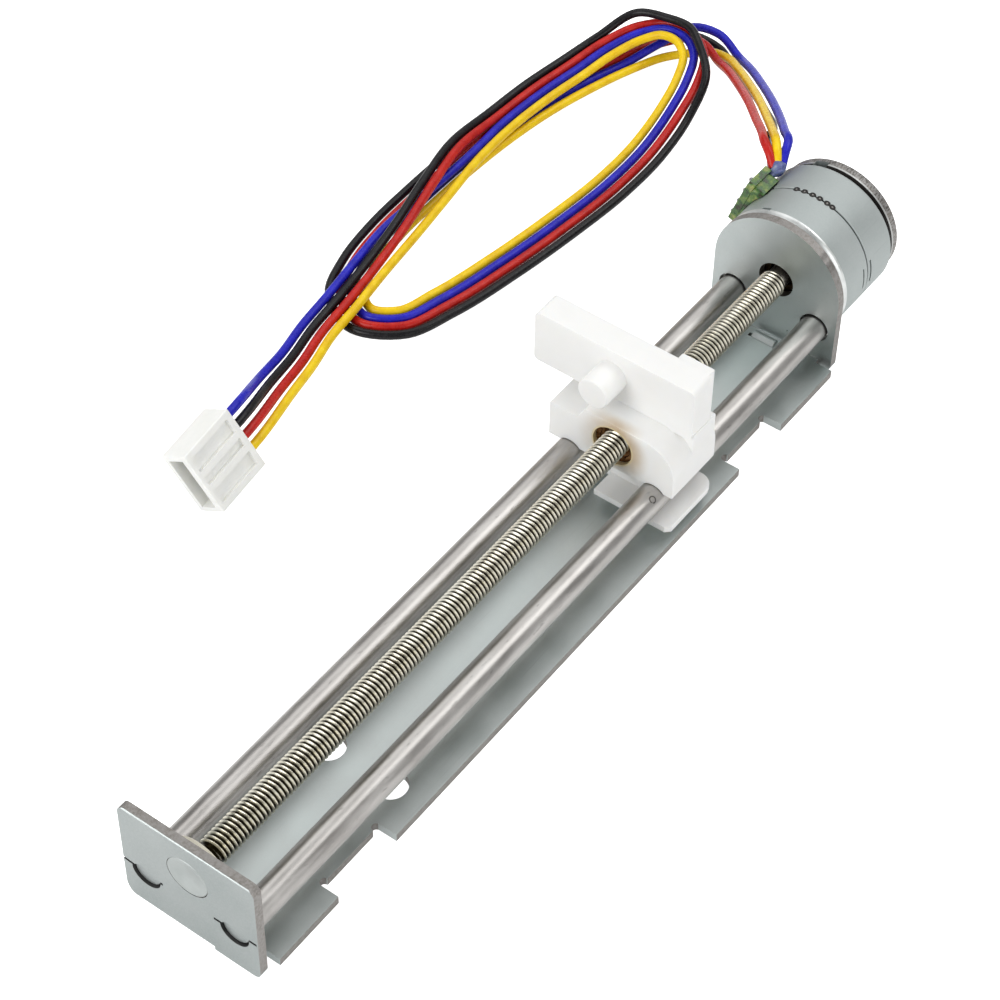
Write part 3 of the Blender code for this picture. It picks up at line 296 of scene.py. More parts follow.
# The bundle's way from the motor, under its own loop, to the connector:
# the wires' places and heights, and the points of each stretch
FLOOR = WIRE_RADIUS + 0.12
OVER = FLOOR + WIRE_PITCH + 0.05
STRETCHES = (
    (EXIT, UNDER, ((56.9, 7.4, 16.4), (59.2, 9.2, 15.4))),
    (RUN, UNDER, (
        (62.2, 11.8, 13.6), (67.2, 15.9, 10.8), (71.8, 19.9, 7.9), (76.1, 24.0, 5.2),
        (79.4, 27.7, 3.0),
    )),
    (CROSS, CLIMB, ((81.3, 30.7, 1.5),)),
    (PASS, ABOVE, ((81.3, 33.7, FLOOR),)),
    (LAND, SETTLE, ((78.6, 36.4, FLOOR),)),
    (LOOP, LEVEL, (
        (74.0, 38.5, FLOOR), (68.5, 40.2, FLOOR), (62.4, 41.6, FLOOR), (55.6, 42.5, FLOOR),
        (48.5, 42.9, FLOOR), (41.2, 42.9, FLOOR), (34.6, 42.6, FLOOR), (28.6, 41.6, FLOOR),
        (24.3, 39.9, FLOOR), (22.2, 36.1, FLOOR), (24.3, 32.4, FLOOR), (29.4, 30.6, FLOOR),
        (38.0, 28.9, FLOOR), (47.0, 27.7, FLOOR), (56.0, 27.0, FLOOR), (63.0, 27.1, 0.9),
    )),
    (TOP, LEVEL, ((68.6, 27.5, 2.2),)),
    (RISE, STACK, ((73.0, 28.3, 3.4),)),
    (TURN, STACK, ((76.5, 30.1, 4.2), (78.3, 32.7, 4.4), (78.4, 35.7, 4.1))),
    (RISE, STACK, ((77.1, 38.2, 3.4),)),
    (TOP, LEVEL, ((73.2, 40.3, 2.6), (68.5, 41.5, OVER), (62.5, 42.3, OVER), (56.0, 42.7, OVER))),
    (TOP, PAIR, ((48.8, 42.4, OVER),)),
    (TUCK, RIDGE, ((41.2, 41.3, OVER),)),
    (END, PAIR, ((34.2, 40.3, OVER),)),
    (END, LEVEL, ((27.9, 39.5, OVER), (22.1, 38.6, OVER), (17.0, 37.9, 1.9))),
    (END, FAN, ((12.2, 36.6, 2.3),)),
    (END, SPREAD, ((7.4, 35.4, 3.2),)),
)
ROUTE = [(point, lanes, lifts) for lanes, lifts, points in STRETCHES for point in points]


# Node materials

class Look:
    """A Principled material with short helpers for its nodes."""

    def __init__(self, name, colour, metallic=0.0, roughness=0.5):
        self.material = bpy.data.materials.new(name)
        self.material.use_nodes = True
        self.tree = self.material.node_tree
        self.shader = self.tree.nodes["Principled BSDF"]
        self.material.diffuse_color = (*colour, 1.0)
        self.set("Base Color", (*colour, 1.0))
        self.set("Metallic", metallic)
        self.set("Roughness", roughness)
        self.coords = self.node("TexCoord").outputs["Object"]

    def set(self, socket, value):
        self.shader.inputs[socket].default_value = value

    def link(self, source, target):
        self.tree.links.new(source, target)

    def node(self, kind):
        return self.tree.nodes.new("ShaderNode" + kind)

    def noise(self, size, stretch=(1, 1, 1), detail=4.0, rough=0.55, seed=0.0):
        """Noise whose patches are about size millimetres wide."""
        place = self.node("Mapping")
        place.inputs["Scale"].default_value = [1 / s for s in stretch]
        place.inputs["Location"].default_value = (seed, seed * 0.7, seed * 1.3)
        self.link(self.coords, place.inputs["Vector"])
        node = self.node("TexNoise")
        node.inputs["Scale"].default_value = 1 / (size * MM)
        node.inputs["Detail"].default_value = detail
        node.inputs["Roughness"].default_value = rough
        self.link(place.outputs["Vector"], node.inputs["Vector"])
        return node.outputs["Fac"]

    def ramp(self, source, stops):
        """A colour ramp from (position, colour) stops; a grey may be one number."""
        node = self.node("ValToRGB")
        points = node.color_ramp.elements
        while len(points) < len(stops):
            points.new(0.5)
        for point, (position, colour) in zip(points, stops):
            point.position = position
            if isinstance(colour, (int, float)):
                colour = (colour, colour, colour)
            point.color = (*colour, 1.0)
        self.link(source, node.inputs["Fac"])
        return node.outputs["Color"]

    def mix(self, amount, first, second, blend="MIX"):
        node = self.node("Mix")
        node.data_type = "RGBA"
        node.blend_type = blend
        for socket, value in ((0, amount), (6, first), (7, second)):
            if isinstance(value, tuple):
                value = (*value, 1.0)
            if hasattr(value, "links"):
                self.link(value, node.inputs[socket])
            else:
                node.inputs[socket].default_value = value
        return node.outputs[2]

    def math(self, operation, first, second=0.0, third=0.0):
        node = self.node("Math")
        node.operation = operation
        for socket, value in enumerate((first, second, third)):
            if hasattr(value, "links"):
                self.link(value, node.inputs[socket])
            else:
                node.inputs[socket].default_value = value
        return node.outputs[0]

    def span(self, source, low, high, start=0.0, end=1.0):
        """Map a range of values onto another, with the ends held."""
        node = self.node("MapRange")
        node.interpolation_type = "SMOOTHSTEP"
        for socket, value in enumerate((low, high, start, end)):
            node.inputs[socket + 1].default_value = value
        self.link(source, node.inputs[0])
        return node.outputs[0]

    def axis_distance(self, y=0.0, z=AXIS_HEIGHT):
        """Distance from a line along X, in millimetres."""
        split = self.node("SeparateXYZ")
        self.link(self.coords, split.inputs[0])
        across = self.math("SUBTRACT", split.outputs["Y"], y * MM)
        up = self.math("SUBTRACT", split.outputs["Z"], z * MM)
        square = self.math("ADD", self.math("POWER", across, 2.0), self.math("POWER", up, 2.0))
        return self.math("MULTIPLY", self.math("SQRT", square), 1 / MM)

    def distance(self, point):
        """Distance from a point, in millimetres."""
        node = self.node("VectorMath")
        node.operation = "DISTANCE"
        self.link(self.coords, node.inputs[0])
        node.inputs[1].default_value = [value * MM for value in point]
        return self.math("MULTIPLY", node.outputs["Value"], 1 / MM)

    def separate(self, axis):
        split = self.node("SeparateXYZ")
        self.link(self.coords, split.inputs[0])
        return self.math("MULTIPLY", split.outputs[axis], 1 / MM)

    def patches(self, source, dark, light, low=0.3, high=0.7):
        return self.ramp(source, [(low, dark), (high, light)])

    def stain(self, base, source, low, high, amount, colour):
        """Lay a colour over the base where the source runs high."""
        return self.mix(self.span(source, low, high, 0.0, amount), base, colour)

    def soft(self, weight, radius, depth):
        """Light that enters and spreads, to a depth in millimetres."""
        self.set("Subsurface Weight", weight)
        self.set("Subsurface Radius", radius)
        self.set("Subsurface Scale", depth * MM)

    def colour(self, source):
        self.link(source, self.shader.inputs["Base Color"])

    def roughness(self, source, low, high):
        self.link(self.span(source, 0.25, 0.75, low, high), self.shader.inputs["Roughness"])

    def bump(self, source, height, before=None):
        """Raise the surface by height millimetres where the source is 1."""
        node = self.node("Bump")
        node.inputs["Strength"].default_value = 1.0
        node.inputs["Distance"].default_value = height * MM
        self.link(source, node.inputs["Height"])
        if before is not None:
            self.link(before, node.inputs["Normal"])
        self.link(node.outputs["Normal"], self.shader.inputs["Normal"])
        return node.outputs["Normal"]


# lift makes every colour lighter; the base's copy uses it as painted light.
def zinc_sheet(name="zinc_plated_sheet", smooth=0.38, dull=0.5, lift=1.0):
    look = Look(name, (0.40 * lift, 0.43 * lift, 0.425 * lift), 1.0, smooth)
    patches = look.noise(6.0, detail=5.0)
    grain = look.noise(0.22, detail=3.0, seed=3.0)
    rolling = look.noise(0.25, stretch=(30, 1, 1), detail=3.0, seed=7.0)
    dark = (0.35 * lift, 0.385 * lift, 0.38 * lift)
    light = (0.43 * lift, 0.46 * lift, 0.455 * lift)
    base = look.patches(patches, dark, light)
    base = look.stain(base, grain, 0.35, 0.75, 0.22, (0.56, 0.58, 0.57))
    base = look.stain(base, rolling, 0.6, 0.8, 0.18, (0.27, 0.29, 0.29))
    look.colour(base)
    look.roughness(patches, smooth, dull)
    first = look.bump(grain, 0.006)
    look.bump(rolling, 0.004, first)
    return look.material


def sheared_edge():
    """The rougher, darker edge where the sheet was punched out."""
    look = Look("sheared_sheet_edge", (0.33, 0.32, 0.31), 1.0, 0.5)
    streaks = look.noise(0.35, detail=5.0, rough=0.7)
    smears = look.noise(1.4, detail=3.0, seed=5.0)
    base = look.patches(streaks, (0.20, 0.185, 0.17), (0.38, 0.365, 0.35), 0.35, 0.65)
    look.colour(look.stain(base, smears, 0.4, 0.7, 0.5, (0.33, 0.32, 0.31)))
    look.roughness(streaks, 0.4, 0.6)
    look.bump(streaks, 0.02)
    return look.material


def ground_steel():
    """Honed steel with smudges and one faint ring scribed on the right rod."""
    look = Look("ground_steel_rod", (0.45, 0.43, 0.41), 1.0, 0.26)
    smudge = look.noise(1.6, stretch=(4, 1, 1), detail=6.0)
    hone = look.noise(0.12, stretch=(0.5, 4, 4), detail=2.0, seed=2.0)
    spots = look.noise(0.5, stretch=(3, 1, 1), detail=4.0, seed=9.0)
    base = look.patches(smudge, (0.34, 0.325, 0.31), (0.54, 0.525, 0.505))
    base = look.stain(base, spots, 0.6, 0.75, 0.45, (0.17, 0.16, 0.15))
    reach = look.distance(ROD_MARK)
    ring = look.math("ABSOLUTE", look.math("SUBTRACT", reach, ROD_MARK_RADIUS))
    worn = look.span(look.noise(0.45, seed=11.0), 0.3, 0.42)
    mark = look.math("MULTIPLY", look.span(ring, 0.03, 0.11, 0.85, 0.0), worn)
    look.colour(look.mix(mark, base, (0.06, 0.055, 0.05)))
    look.roughness(smudge, 0.29, 0.4)
    look.bump(hone, 0.003)
    return look.material


def screw_metal():
    """Plated screw, painted near-black in the thread's roots as shade, and its bare shaft."""
    look = Look("screw_with_painted_root_shade", (0.60, 0.56, 0.45), 1.0, 0.28)
    radius = look.axis_distance()
    depth = look.span(radius, SCREW_ROOT + 0.06, SCREW_RADIUS - 0.07)
    stain = look.noise(1.2, stretch=(3, 1, 1), detail=4.0)
    crest = look.patches(stain, (0.68, 0.64, 0.52), (0.82, 0.80, 0.70))
    # Painted shade: near-black towards the thread's roots, the crest colour on its ridges.
    ridges = look.mix(depth, (0.012, 0.009, 0.004), crest)
    end = FRONT_X + SCREW_THREAD[1]
    shaft = look.span(look.separate("X"), end + 0.3, end + 0.4)
    look.colour(look.mix(shaft, ridges, (0.42, 0.40, 0.36)))
    look.roughness(stain, 0.2, 0.34)
    return look.material


def turned_brass():
    look = Look("greasy_brass", (0.50, 0.33, 0.13), 1.0, 0.3)
    stain = look.noise(0.6, detail=4.0)
    rings = look.noise(0.1, stretch=(1, 8, 8), detail=2.0)
    look.colour(look.patches(stain, (0.15, 0.065, 0.025), (0.42, 0.22, 0.09)))
    look.roughness(stain, 0.22, 0.42)
    look.bump(rings, 0.004)
    return look.material


def white_acetal():
    """Moulded acetal, with a painted brown glow of the brass nut round the screw's hole."""
    look = Look("white_acetal", (0.87, 0.87, 0.855), 0.0, 0.36)
    radius = look.axis_distance()
    cloud = look.noise(2.2, detail=3.0)
    start = FRONT_X + SLIDER_FRONT
    front = look.span(look.separate("X"), start + 0.2, start + 1.6, 1.0, 0.0)
    near = look.span(radius, NUT_LIP_RADIUS, 4.6, 1.0, 0.0)
    slant = look.math("SUBTRACT", look.separate("Z"), look.separate("Y"))
    above = look.span(slant, 6.5, 12.5, 0.35, 1.0)
    # Painted glow: brown round the hole on the front face, strongest towards the upper left.
    painted_glow = look.math("MULTIPLY", look.math("MULTIPLY", near, front), above)
    painted_glow = look.math("MULTIPLY", painted_glow, look.span(cloud, 0.2, 0.8, 0.75, 1.0))
    # A painted yellow ring at the pocket's mouth.
    rim = look.span(radius, NUT_LIP_RADIUS + 0.05, NUT_LIP_RADIUS + 0.3, 0.8, 0.0)
    rim = look.math("MULTIPLY", rim, front)
    base = look.stain((0.87, 0.87, 0.855), cloud, 0.35, 0.7, 0.3, (0.84, 0.84, 0.825))
    base = look.mix(painted_glow, base, (0.50, 0.36, 0.20))
    base = look.mix(rim, base, (0.74, 0.60, 0.33))
    look.colour(base)
    look.roughness(cloud, 0.32, 0.44)
    look.soft(0.3, (1.0, 0.9, 0.75), 1.2)
    first = look.bump(look.noise(0.12, detail=2.0, seed=4.0), 0.002)
    look.bump(cloud, 0.02, first)
    return look.material


def bearing_face():
    """The bearing's end, plated like the sheet round it."""
    look = Look("plated_bearing_face", (0.46, 0.49, 0.48), 1.0, 0.5)
    cloud = look.noise(1.5, detail=5.0)
    look.colour(look.patches(cloud, (0.43, 0.46, 0.45), (0.51, 0.54, 0.53)))
    look.roughness(cloud, 0.42, 0.55)
    look.bump(look.noise(0.2, seed=2.0), 0.005)
    return look.material


def plain_moulding(name, dark, light, rough=0.45):
    """Moulded plastic with a fine texture and faint clouding."""
    look = Look(name, light, 0.0, rough)
    cloud = look.noise(1.5, detail=4.0)
    look.colour(look.patches(cloud, dark, light))
    look.roughness(cloud, rough - 0.06, rough + 0.08)
    look.bump(look.noise(0.1, detail=2.0, seed=6.0), 0.002)
    return look


def nylon():
    look = plain_moulding("connector_nylon", (0.86, 0.865, 0.83), (0.91, 0.91, 0.88), 0.4)
    look.soft(0.25, (1.0, 0.95, 0.8), 0.8)
    return look.material


def insulation(name, dark, light):
    """Soft PVC over twisted strands: glossy, with a faint ripple along it."""
    look = Look(name, light, 0.0, 0.3)
    ripple = look.noise(1.3, detail=3.0)
    scuff = look.noise(0.3, detail=4.0, seed=8.0)
    base = look.patches(ripple, dark, light)
    pale = tuple(min(1.0, channel + 0.02) for channel in light)
    look.colour(look.stain(base, scuff, 0.55, 0.8, 0.35, pale))
    look.roughness(scuff, 0.22, 0.4)
    look.set("Specular IOR Level", 0.28)
    look.bump(ripple, 0.03)
    return look.material


def board_look():
    """Solder-masked laminate, light showing through it from the edge."""
    look = Look("terminal_board", (0.12, 0.24, 0.07), 0.0, 0.35)
    weave = look.noise(0.35, detail=3.0)
    flux = look.noise(1.0, detail=4.0, seed=3.0)
    stops = [
        (0.36, (0.03, 0.035, 0.012)),
        (0.45, (0.04, 0.12, 0.03)),
        (0.55, (0.14, 0.23, 0.05)),
        (0.66, (0.34, 0.36, 0.12)),
    ]
    base = look.ramp(flux, stops)
    look.colour(look.stain(base, weave, 0.4, 0.7, 0.2, (0.14, 0.24, 0.10)))
    look.roughness(flux, 0.2, 0.45)
    look.soft(0.2, (0.4, 1.0, 0.3), 0.6)
    look.bump(weave, 0.01)
    return look.material


def glue():
    """Clear glue tinted by the wires in it."""
    look = Look("cured_glue", (0.10, 0.13, 0.34), 0.0, 0.22)
    cloud = look.noise(0.9, detail=4.0)
    stops = [(0.3, (0.05, 0.06, 0.26)), (0.6, (0.16, 0.20, 0.36)), (0.8, (0.40, 0.44, 0.46))]
    look.colour(look.ramp(cloud, stops))
    look.roughness(cloud, 0.15, 0.35)
    look.soft(0.3, (0.4, 0.5, 1.0), 0.6)
    look.bump(look.noise(0.5, seed=4.0), 0.03)
    return look.material


def metal(name, dark, light, rough=0.3, patch=0.8):
    """A plain metal with tarnish and a fine grain."""
    look = Look(name, light, 1.0, rough)
    tarnish = look.noise(patch, detail=5.0)
    look.colour(look.patches(tarnish, dark, light))
    look.roughness(tarnish, rough - 0.08, rough + 0.1)
    look.bump(look.noise(0.08, detail=3.0, seed=5.0), 0.002)
    return look.material


def cover_rim():
    """The cover's drawn rim, marked all round by the press, with a painted highlight and a painted
    shadow.
    """
    look = Look("stamped_cover_rim", (0.32, 0.30, 0.28), 1.0, 0.45)
    marks = look.noise(0.16, stretch=(3, 1, 1), detail=3.0)
    along = look.separate("X")
    start = FRONT_X + COVER_START
    rust = look.noise(1.4, detail=5.0, seed=2.0)
    base = look.patches(marks, (0.14, 0.13, 0.12), (0.40, 0.39, 0.38), 0.38, 0.6)
    base = look.stain(base, rust, 0.5, 0.75, 0.4, (0.32, 0.28, 0.24))
    # Painted highlight: a light band just behind the rim's front edge.
    painted_light = look.span(along, start + 0.6, start + 0.68, 1.0, 0.0)
    base = look.mix(painted_light, base, (0.56, 0.57, 0.56))
    # Painted shadow: a near-black band where the cover meets the cup.
    gap = look.span(along, start + 0.4, start + 0.45, 1.0, 0.0)
    look.colour(look.mix(gap, base, (0.012, 0.011, 0.010)))
    look.roughness(marks, 0.36, 0.55)
    look.bump(marks, 0.03)
    return look.material


# Shapes

# Turns a flat outline's two axes into Y and Z
TURN_TO_X = Matrix(((0, 0, 1, 0), (1, 0, 0, 0), (0, 1, 0, 0), (0, 0, 0, 1)))


def at(x, y=0.0, z=0.0):
    """A point given from the frame's front face and the screw's axis."""
    return Vector((x + FRONT_X, y, z + AXIS_HEIGHT))


def arc(centre, radius, start, end, steps):
    """Points on an arc, angles in degrees."""
    points = []
    for step in range(steps + 1):
        angle = math.radians(start + (end - start) * step / steps)
        x = centre[0] + radius * math.cos(angle)
        y = centre[1] + radius * math.sin(angle)
        points.append((x, y))
    return points


def circle(centre, radius, steps=48):
    return arc(centre, radius, 0, 360, steps)[:-1]


def rectangle(x0, y0, x1, y1):
    return [(x0, y0), (x1, y0), (x1, y1), (x0, y1)]


def rounded_rectangle(x0, y0, x1, y1, radius, steps=8):
    return (
        arc((x1 - radius, y1 - radius), radius, 0, 90, steps)
        + arc((x0 + radius, y1 - radius), radius, 90, 180, steps)
        + arc((x0 + radius, y0 + radius), radius, 180, 270, steps)
        + arc((x1 - radius, y0 + radius), radius, 270, 360, steps)
    )


def mesh_from_shape(name, shape):
    bmesh.ops.recalc_face_normals(shape, faces=shape.faces)
    mesh = bpy.data.meshes.new(name)
    shape.to_mesh(mesh)
    shape.free()
    return mesh


def slab(name, outlines, low, high, matrix):
    """Fill flat outlines, later ones being holes, and give them thickness."""
    curve = bpy.data.curves.new(name + "_outline", "CURVE")
    curve.dimensions = "2D"
    curve.fill_mode = "BOTH"
    curve.extrude = (high - low) / 2 * MM
    for outline in outlines:
        spline = curve.splines.new("POLY")
        spline.points.add(len(outline) - 1)
        for point, (x, y) in zip(spline.points, outline):
            point.co = (x * MM, y * MM, 0.0, 1.0)
        spline.use_cyclic_u = True
    holder = shown(name + "_outline", curve)
    bpy.context.view_layer.update()
    flat = bpy.data.meshes.new_from_object(holder)
    bpy.data.objects.remove(holder, do_unlink=True)
    bpy.data.curves.remove(curve)
    shape = bmesh.new()
    shape.from_mesh(flat)
    bpy.data.meshes.remove(flat)
    bmesh.ops.remove_doubles(shape, verts=shape.verts, dist=0.000001)
    lift = Matrix.Translation((0, 0, (high + low) / 2 * MM))
    bmesh.ops.transform(shape, matrix=matrix @ lift, verts=shape.verts)
    return mesh_from_shape(name, shape)


def facing_x():
    """Outline drawn in Y and Z from the screw's axis, thickness along X."""
    return Matrix.Translation(at(0) * MM) @ TURN_TO_X


def cut_x(name, outline, low, high):
    """A slab facing along X, between two distances from the frame's front."""
    return slab(name, [outline], low, high, facing_x())


def facing_y():
    """Outline drawn in X and Z from the frame's front corner."""
    turn = Matrix(((1, 0, 0, 0), (0, 0, -1, 0), (0, 1, 0, 0), (0, 0, 0, 1)))
    return Matrix.Translation((FRONT_X * MM, 0, 0)) @ turn


def facing_z():
    """Outline drawn in X and Y, height measured from the underside."""
    return Matrix.Translation((FRONT_X * MM, 0, 0))


def facing_board():
    """Outline drawn along the board, thickness away from the motor."""
    tilt = math.radians(BOARD_TILT)
    out = Vector((0, math.cos(tilt), math.sin(tilt)))
    along = Vector((0, -math.sin(tilt), math.cos(tilt)))
    turn = Matrix.Identity(4)
    for row in range(3):
        turn[row][0] = (1, 0, 0)[row]
        turn[row][1] = along[row]
        turn[row][2] = out[row]
    return Matrix.Translation(at(SEAM_X) * MM) @ turn


def spun(points, centre, axis, steps):
    """A line of points turned once round an axis."""
    shape = bmesh.new()
    verts = [shape.verts.new(point) for point in points]
    edges = [shape.edges.new(pair) for pair in zip(verts, verts[1:])]
    bmesh.ops.spin(
        shape,
        geom=verts + edges,
        cent=centre,
        axis=axis,
        angle=math.radians(360),
        steps=steps,
        use_merge=True,
        use_duplicate=False,
    )
    bmesh.ops.remove_doubles(shape, verts=shape.verts, dist=0.0000005)
    return shape


def turned(name, outline, steps=96, y=0.0, z=0.0):
    """Turn a closed outline of (x, radius) points about a line along X."""
    points = [at(x, y + radius, z) * MM for x, radius in outline]
    return mesh_from_shape(name, spun(points, at(0, y, z) * MM, (1, 0, 0), steps))


def turned_up(name, outline, matrix, steps=24):
    """Turn a closed outline of (radius, height) points about Z, then place it."""
    points = [(radius * MM, 0, height * MM) for radius, height in outline]
    shape = spun(points, (0, 0, 0), (0, 0, 1), steps)
    bmesh.ops.transform(shape, matrix=matrix, verts=shape.verts)
    return mesh_from_shape(name, shape)


def rod(name, start, end, radius, steps=48):
    """A plain round bar between two points given in millimetres."""
    shape = bmesh.new()
    line = end - start
    bmesh.ops.create_cone(
        shape,
        cap_ends=True,
        segments=steps,
        radius1=radius * MM,
        radius2=radius * MM,
        depth=line.length * MM,
    )
    turn = line.to_track_quat("Z", "Y").to_matrix().to_4x4()
    place = Matrix.Translation((start + end) / 2 * MM) @ turn
    bmesh.ops.transform(shape, matrix=place, verts=shape.verts)
    return mesh_from_shape(name, shape)


def block(name, low, high):
    shape = bmesh.new()
    bmesh.ops.create_cube(shape, size=1.0)
    size = (high - low) * MM
    place = Matrix.Translation((high + low) / 2 * MM)
    scale = Matrix.Diagonal((size.x, size.y, size.z, 1.0))
    bmesh.ops.transform(shape, matrix=place @ scale, verts=shape.verts)
    return mesh_from_shape(name, shape)


def shown(name, data):
    """A new object in the scene."""
    item = bpy.data.objects.new(name, data)
    bpy.context.scene.collection.objects.link(item)
    return item


def piece(name, mesh, material):
    item = shown(name, mesh)
    mesh.materials.clear()
    mesh.materials.append(material)
    return item


def settle(item):
    """Make an object's modifiers part of its mesh."""
    bpy.context.view_layer.update()
    graph = bpy.context.evaluated_depsgraph_get()
    mesh = bpy.data.meshes.new_from_object(item.evaluated_get(graph))
    item.modifiers.clear()
    old = item.data
    item.data = mesh
    mesh.name = old.name
    bpy.data.meshes.remove(old)


def carve(item, meshes, operation="DIFFERENCE"):
    """Cut meshes out of an object, or join them to it."""
    tools = []
    for mesh in meshes:
        tool = shown(mesh.name, mesh)
        step = item.modifiers.new(mesh.name, "BOOLEAN")
        step.operation = operation
        step.solver = "EXACT"
        step.object = tool
        tools.append(tool)
    settle(item)
    for tool in tools:
        mesh = tool.data
        bpy.data.objects.remove(tool, do_unlink=True)
        bpy.data.meshes.remove(mesh)


def round_edges(item, width, segments=3, angle=35.0, clamp=True):
    step = item.modifiers.new("edge", "BEVEL")
    step.width = width * MM
    step.segments = segments
    step.limit_method = "ANGLE"
    step.angle_limit = math.radians(angle)
    step.use_clamp_overlap = clamp
    settle(item)


def shade(item, angle=40.0):
    """Smooth shading with sharp edges kept, weighted by face size."""
    for face in item.data.polygons:
        face.use_smooth = True
    item.data.set_sharp_from_angle(angle=math.radians(angle))
    step = item.modifiers.new("weighted", "WEIGHTED_NORMAL")
    step.keep_sharp = True
    settle(item)


def rounded_mesh(mesh, width, segments=3, angle=35.0):
    """A mesh with its edges rounded, for joining to another."""
    item = shown(mesh.name, mesh)
    round_edges(item, width, segments, angle)
    result = item.data
    bpy.data.objects.remove(item, do_unlink=True)
    return result


def paint(item, material, wanted):
    """Give another material to the faces whose middle passes a test."""
    item.data.materials.append(material)
    for face in item.data.polygons:
        if wanted(face.center / MM):
            face.material_index = len(item.data.materials) - 1


def place(item, body, slot, *nodes):
    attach(item, body)
    if nodes:
        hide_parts(*nodes)
    return item


# Sheet frame

def frame_section():
    """The bent sheet seen from the side."""
    length = FRAME_LENGTH
    outer = BEND_OUTER
    inner = BEND_INNER
    top = PLATE_TOP
    tall = AXIS_HEIGHT + MOTOR_PLATE_RADIUS
    return (
        arc((FRONT_EDGE, top - FRONT_EDGE), FRONT_EDGE, 90, 180, 4)
        + arc((outer, outer), outer, 180, 270, 8)
        + arc((length - outer, outer), outer, 270, 360, 8)
        + [(length, tall), (length - SHEET, tall)]
        + arc((length - SHEET - inner, SHEET + inner), inner, 0, -90, 5)
        + arc((SHEET + inner, SHEET + inner), inner, 270, 180, 5)
        + [(SHEET, top)]
    )


def front_plate_outline():
    bottom = -AXIS_HEIGHT
    top = PLATE_TOP - AXIS_HEIGHT
    half = PLATE_HALF_WIDTH
    corner = PLATE_CORNER
    foot = PLATE_FOOT_CORNER
    return (
        arc((half - corner, top - corner), corner, 0, 90, 10)
        + arc((-half + corner, top - corner), corner, 90, 180, 10)
        + arc((-half + corner, bottom + corner), corner, 180, 270, 10)
        + arc((half - foot, bottom + foot), foot, 270, 360, 12)
    )


def motor_plate_outline():
    bottom = -AXIS_HEIGHT
    half = MOTOR_PLATE_RADIUS
    corner = PLATE_CORNER
    return (
        arc((0, 0), half, 0, 180, 72)
        + arc((-half + corner, bottom + corner), corner, 180, 270, 8)
        + arc((half - corner, bottom + corner), corner, 270, 360, 8)
    )


def plate_trim(name, outline, x0, x1):
    """What lies outside an upright plate's outline."""
    outer = rectangle(-14, -AXIS_HEIGHT - 2, 14, 14)
    return slab(name, [outer, outline], x0, x1, facing_x())


def notch_outlines(sign):
    """The gaps between the tabs on one side."""
    starts = [SHEET] + [tab[1] for tab in TABS]
    ends = [tab[0] for tab in TABS] + [MOTOR_PLATE_X]
    low, high = sorted((sign * BASE_HALF_WIDTH, sign * (TAB_HALF_WIDTH + 2)))
    return [rectangle(x0, low, x1, high) for x0, x1 in zip(starts, ends)]


def relief_outlines(sign):
    """Small round corners at the ends of the gaps."""
    outlines = []
    for before, after in zip(TABS, TABS[1:]):
        for x in (before[1] + NOTCH_RELIEF, after[0] - NOTCH_RELIEF):
            outlines.append(circle((x, sign * BASE_HALF_WIDTH), NOTCH_RELIEF, 24))
    return outlines


def lens_outline(y):
    """The lanced opening before a rod: a low arch over a round bowl."""
    arch = [(y + across, up - ROD_DROP) for across, up in LENS_ARCH]
    return arch + arc((y, -ROD_DROP), LENS_RADIUS, 173, 367, 28)


def slit_outline(side):
    (y0, z0), (y1, z1) = SLITS[side]
    half = SLIT_HALF_WIDTH
    return [(y0, z0 - half), (y0, z0 + half), (y1, z1 + half), (y1, z1 - half)]


def hole_cutters():
    """The screw's holes in both plates, the base holes and small marks."""
    front_hole = circle((0, 0), BEARING_HOLE, 72)
    motor_hole = circle((0, 0), MOTOR_PLATE_HOLE)
    base_holes = [circle(place, BASE_HOLE_RADIUS) for place in BASE_HOLES]
    marks = [rectangle(*mark) for mark in PLATE_MARKS]
    mark_end = MOTOR_PLATE_X + 0.3
    return [
        cut_x("cut_bearing", front_hole, -CUT, SHEET + CUT),
        cut_x("cut_motor_hole", motor_hole, MOTOR_PLATE_X - CUT, FRAME_LENGTH + CUT),
        slab("cut_base_holes", base_holes, -CUT, SHEET + CUT, facing_z()),
        cut_x("cut_front_dent", rectangle(*FRONT_DENT), -CUT, 0.4),
        slab("cut_plate_marks", marks, MOTOR_PLATE_X - CUT, mark_end, facing_x()),
        slab("cut_tab_end", [rectangle(*TAB_PIT)], 0.5, SHEET + CUT, facing_z()),
    ]


def side_cutters(side, sign):
    """The notches beside the tabs and the openings at one guide rod."""
    seat = circle((sign * ROD_Y, -ROD_DROP), ROD_RADIUS + ROD_CLEARANCE)
    gap = circle((sign * ROD_Y, -ROD_DROP), ROD_RADIUS + MOTOR_ROD_CLEARANCE)
    lens = lens_outline(sign * ROD_Y)
    before = MOTOR_PLATE_X - CUT
    return [
        slab("cut_notches_" + side, notch_outlines(sign), -CUT, 2.2, facing_z()),
        slab("cut_reliefs_" + side, relief_outlines(sign), -CUT, 2, facing_z()),
        cut_x("cut_seat_" + side, seat, ROD_SKIN, SHEET + CUT),
        cut_x("cut_lens_" + side, lens, -CUT, SHEET - 0.1),
        cut_x("cut_slit_" + side, slit_outline(side), -CUT, SLIT_DEPTH),
        cut_x("cut_rod_hole_" + side, seat, before, FRAME_LENGTH + CUT),
        cut_x("cut_rod_gap_" + side, gap, before, MOTOR_PLATE_X + MOTOR_ROD_GAP),
    ]


def frame_cutters():
    motor_end = FRAME_LENGTH + 0.5
    cutters = [
        plate_trim("trim_front", front_plate_outline(), -0.5, SHEET),
        plate_trim("trim_motor", motor_plate_outline(), MOTOR_PLATE_X, motor_end),
    ]
    cutters += hole_cutters()
    for side, sign in SIDES:
        cutters += side_cutters(side, sign)
    return cutters


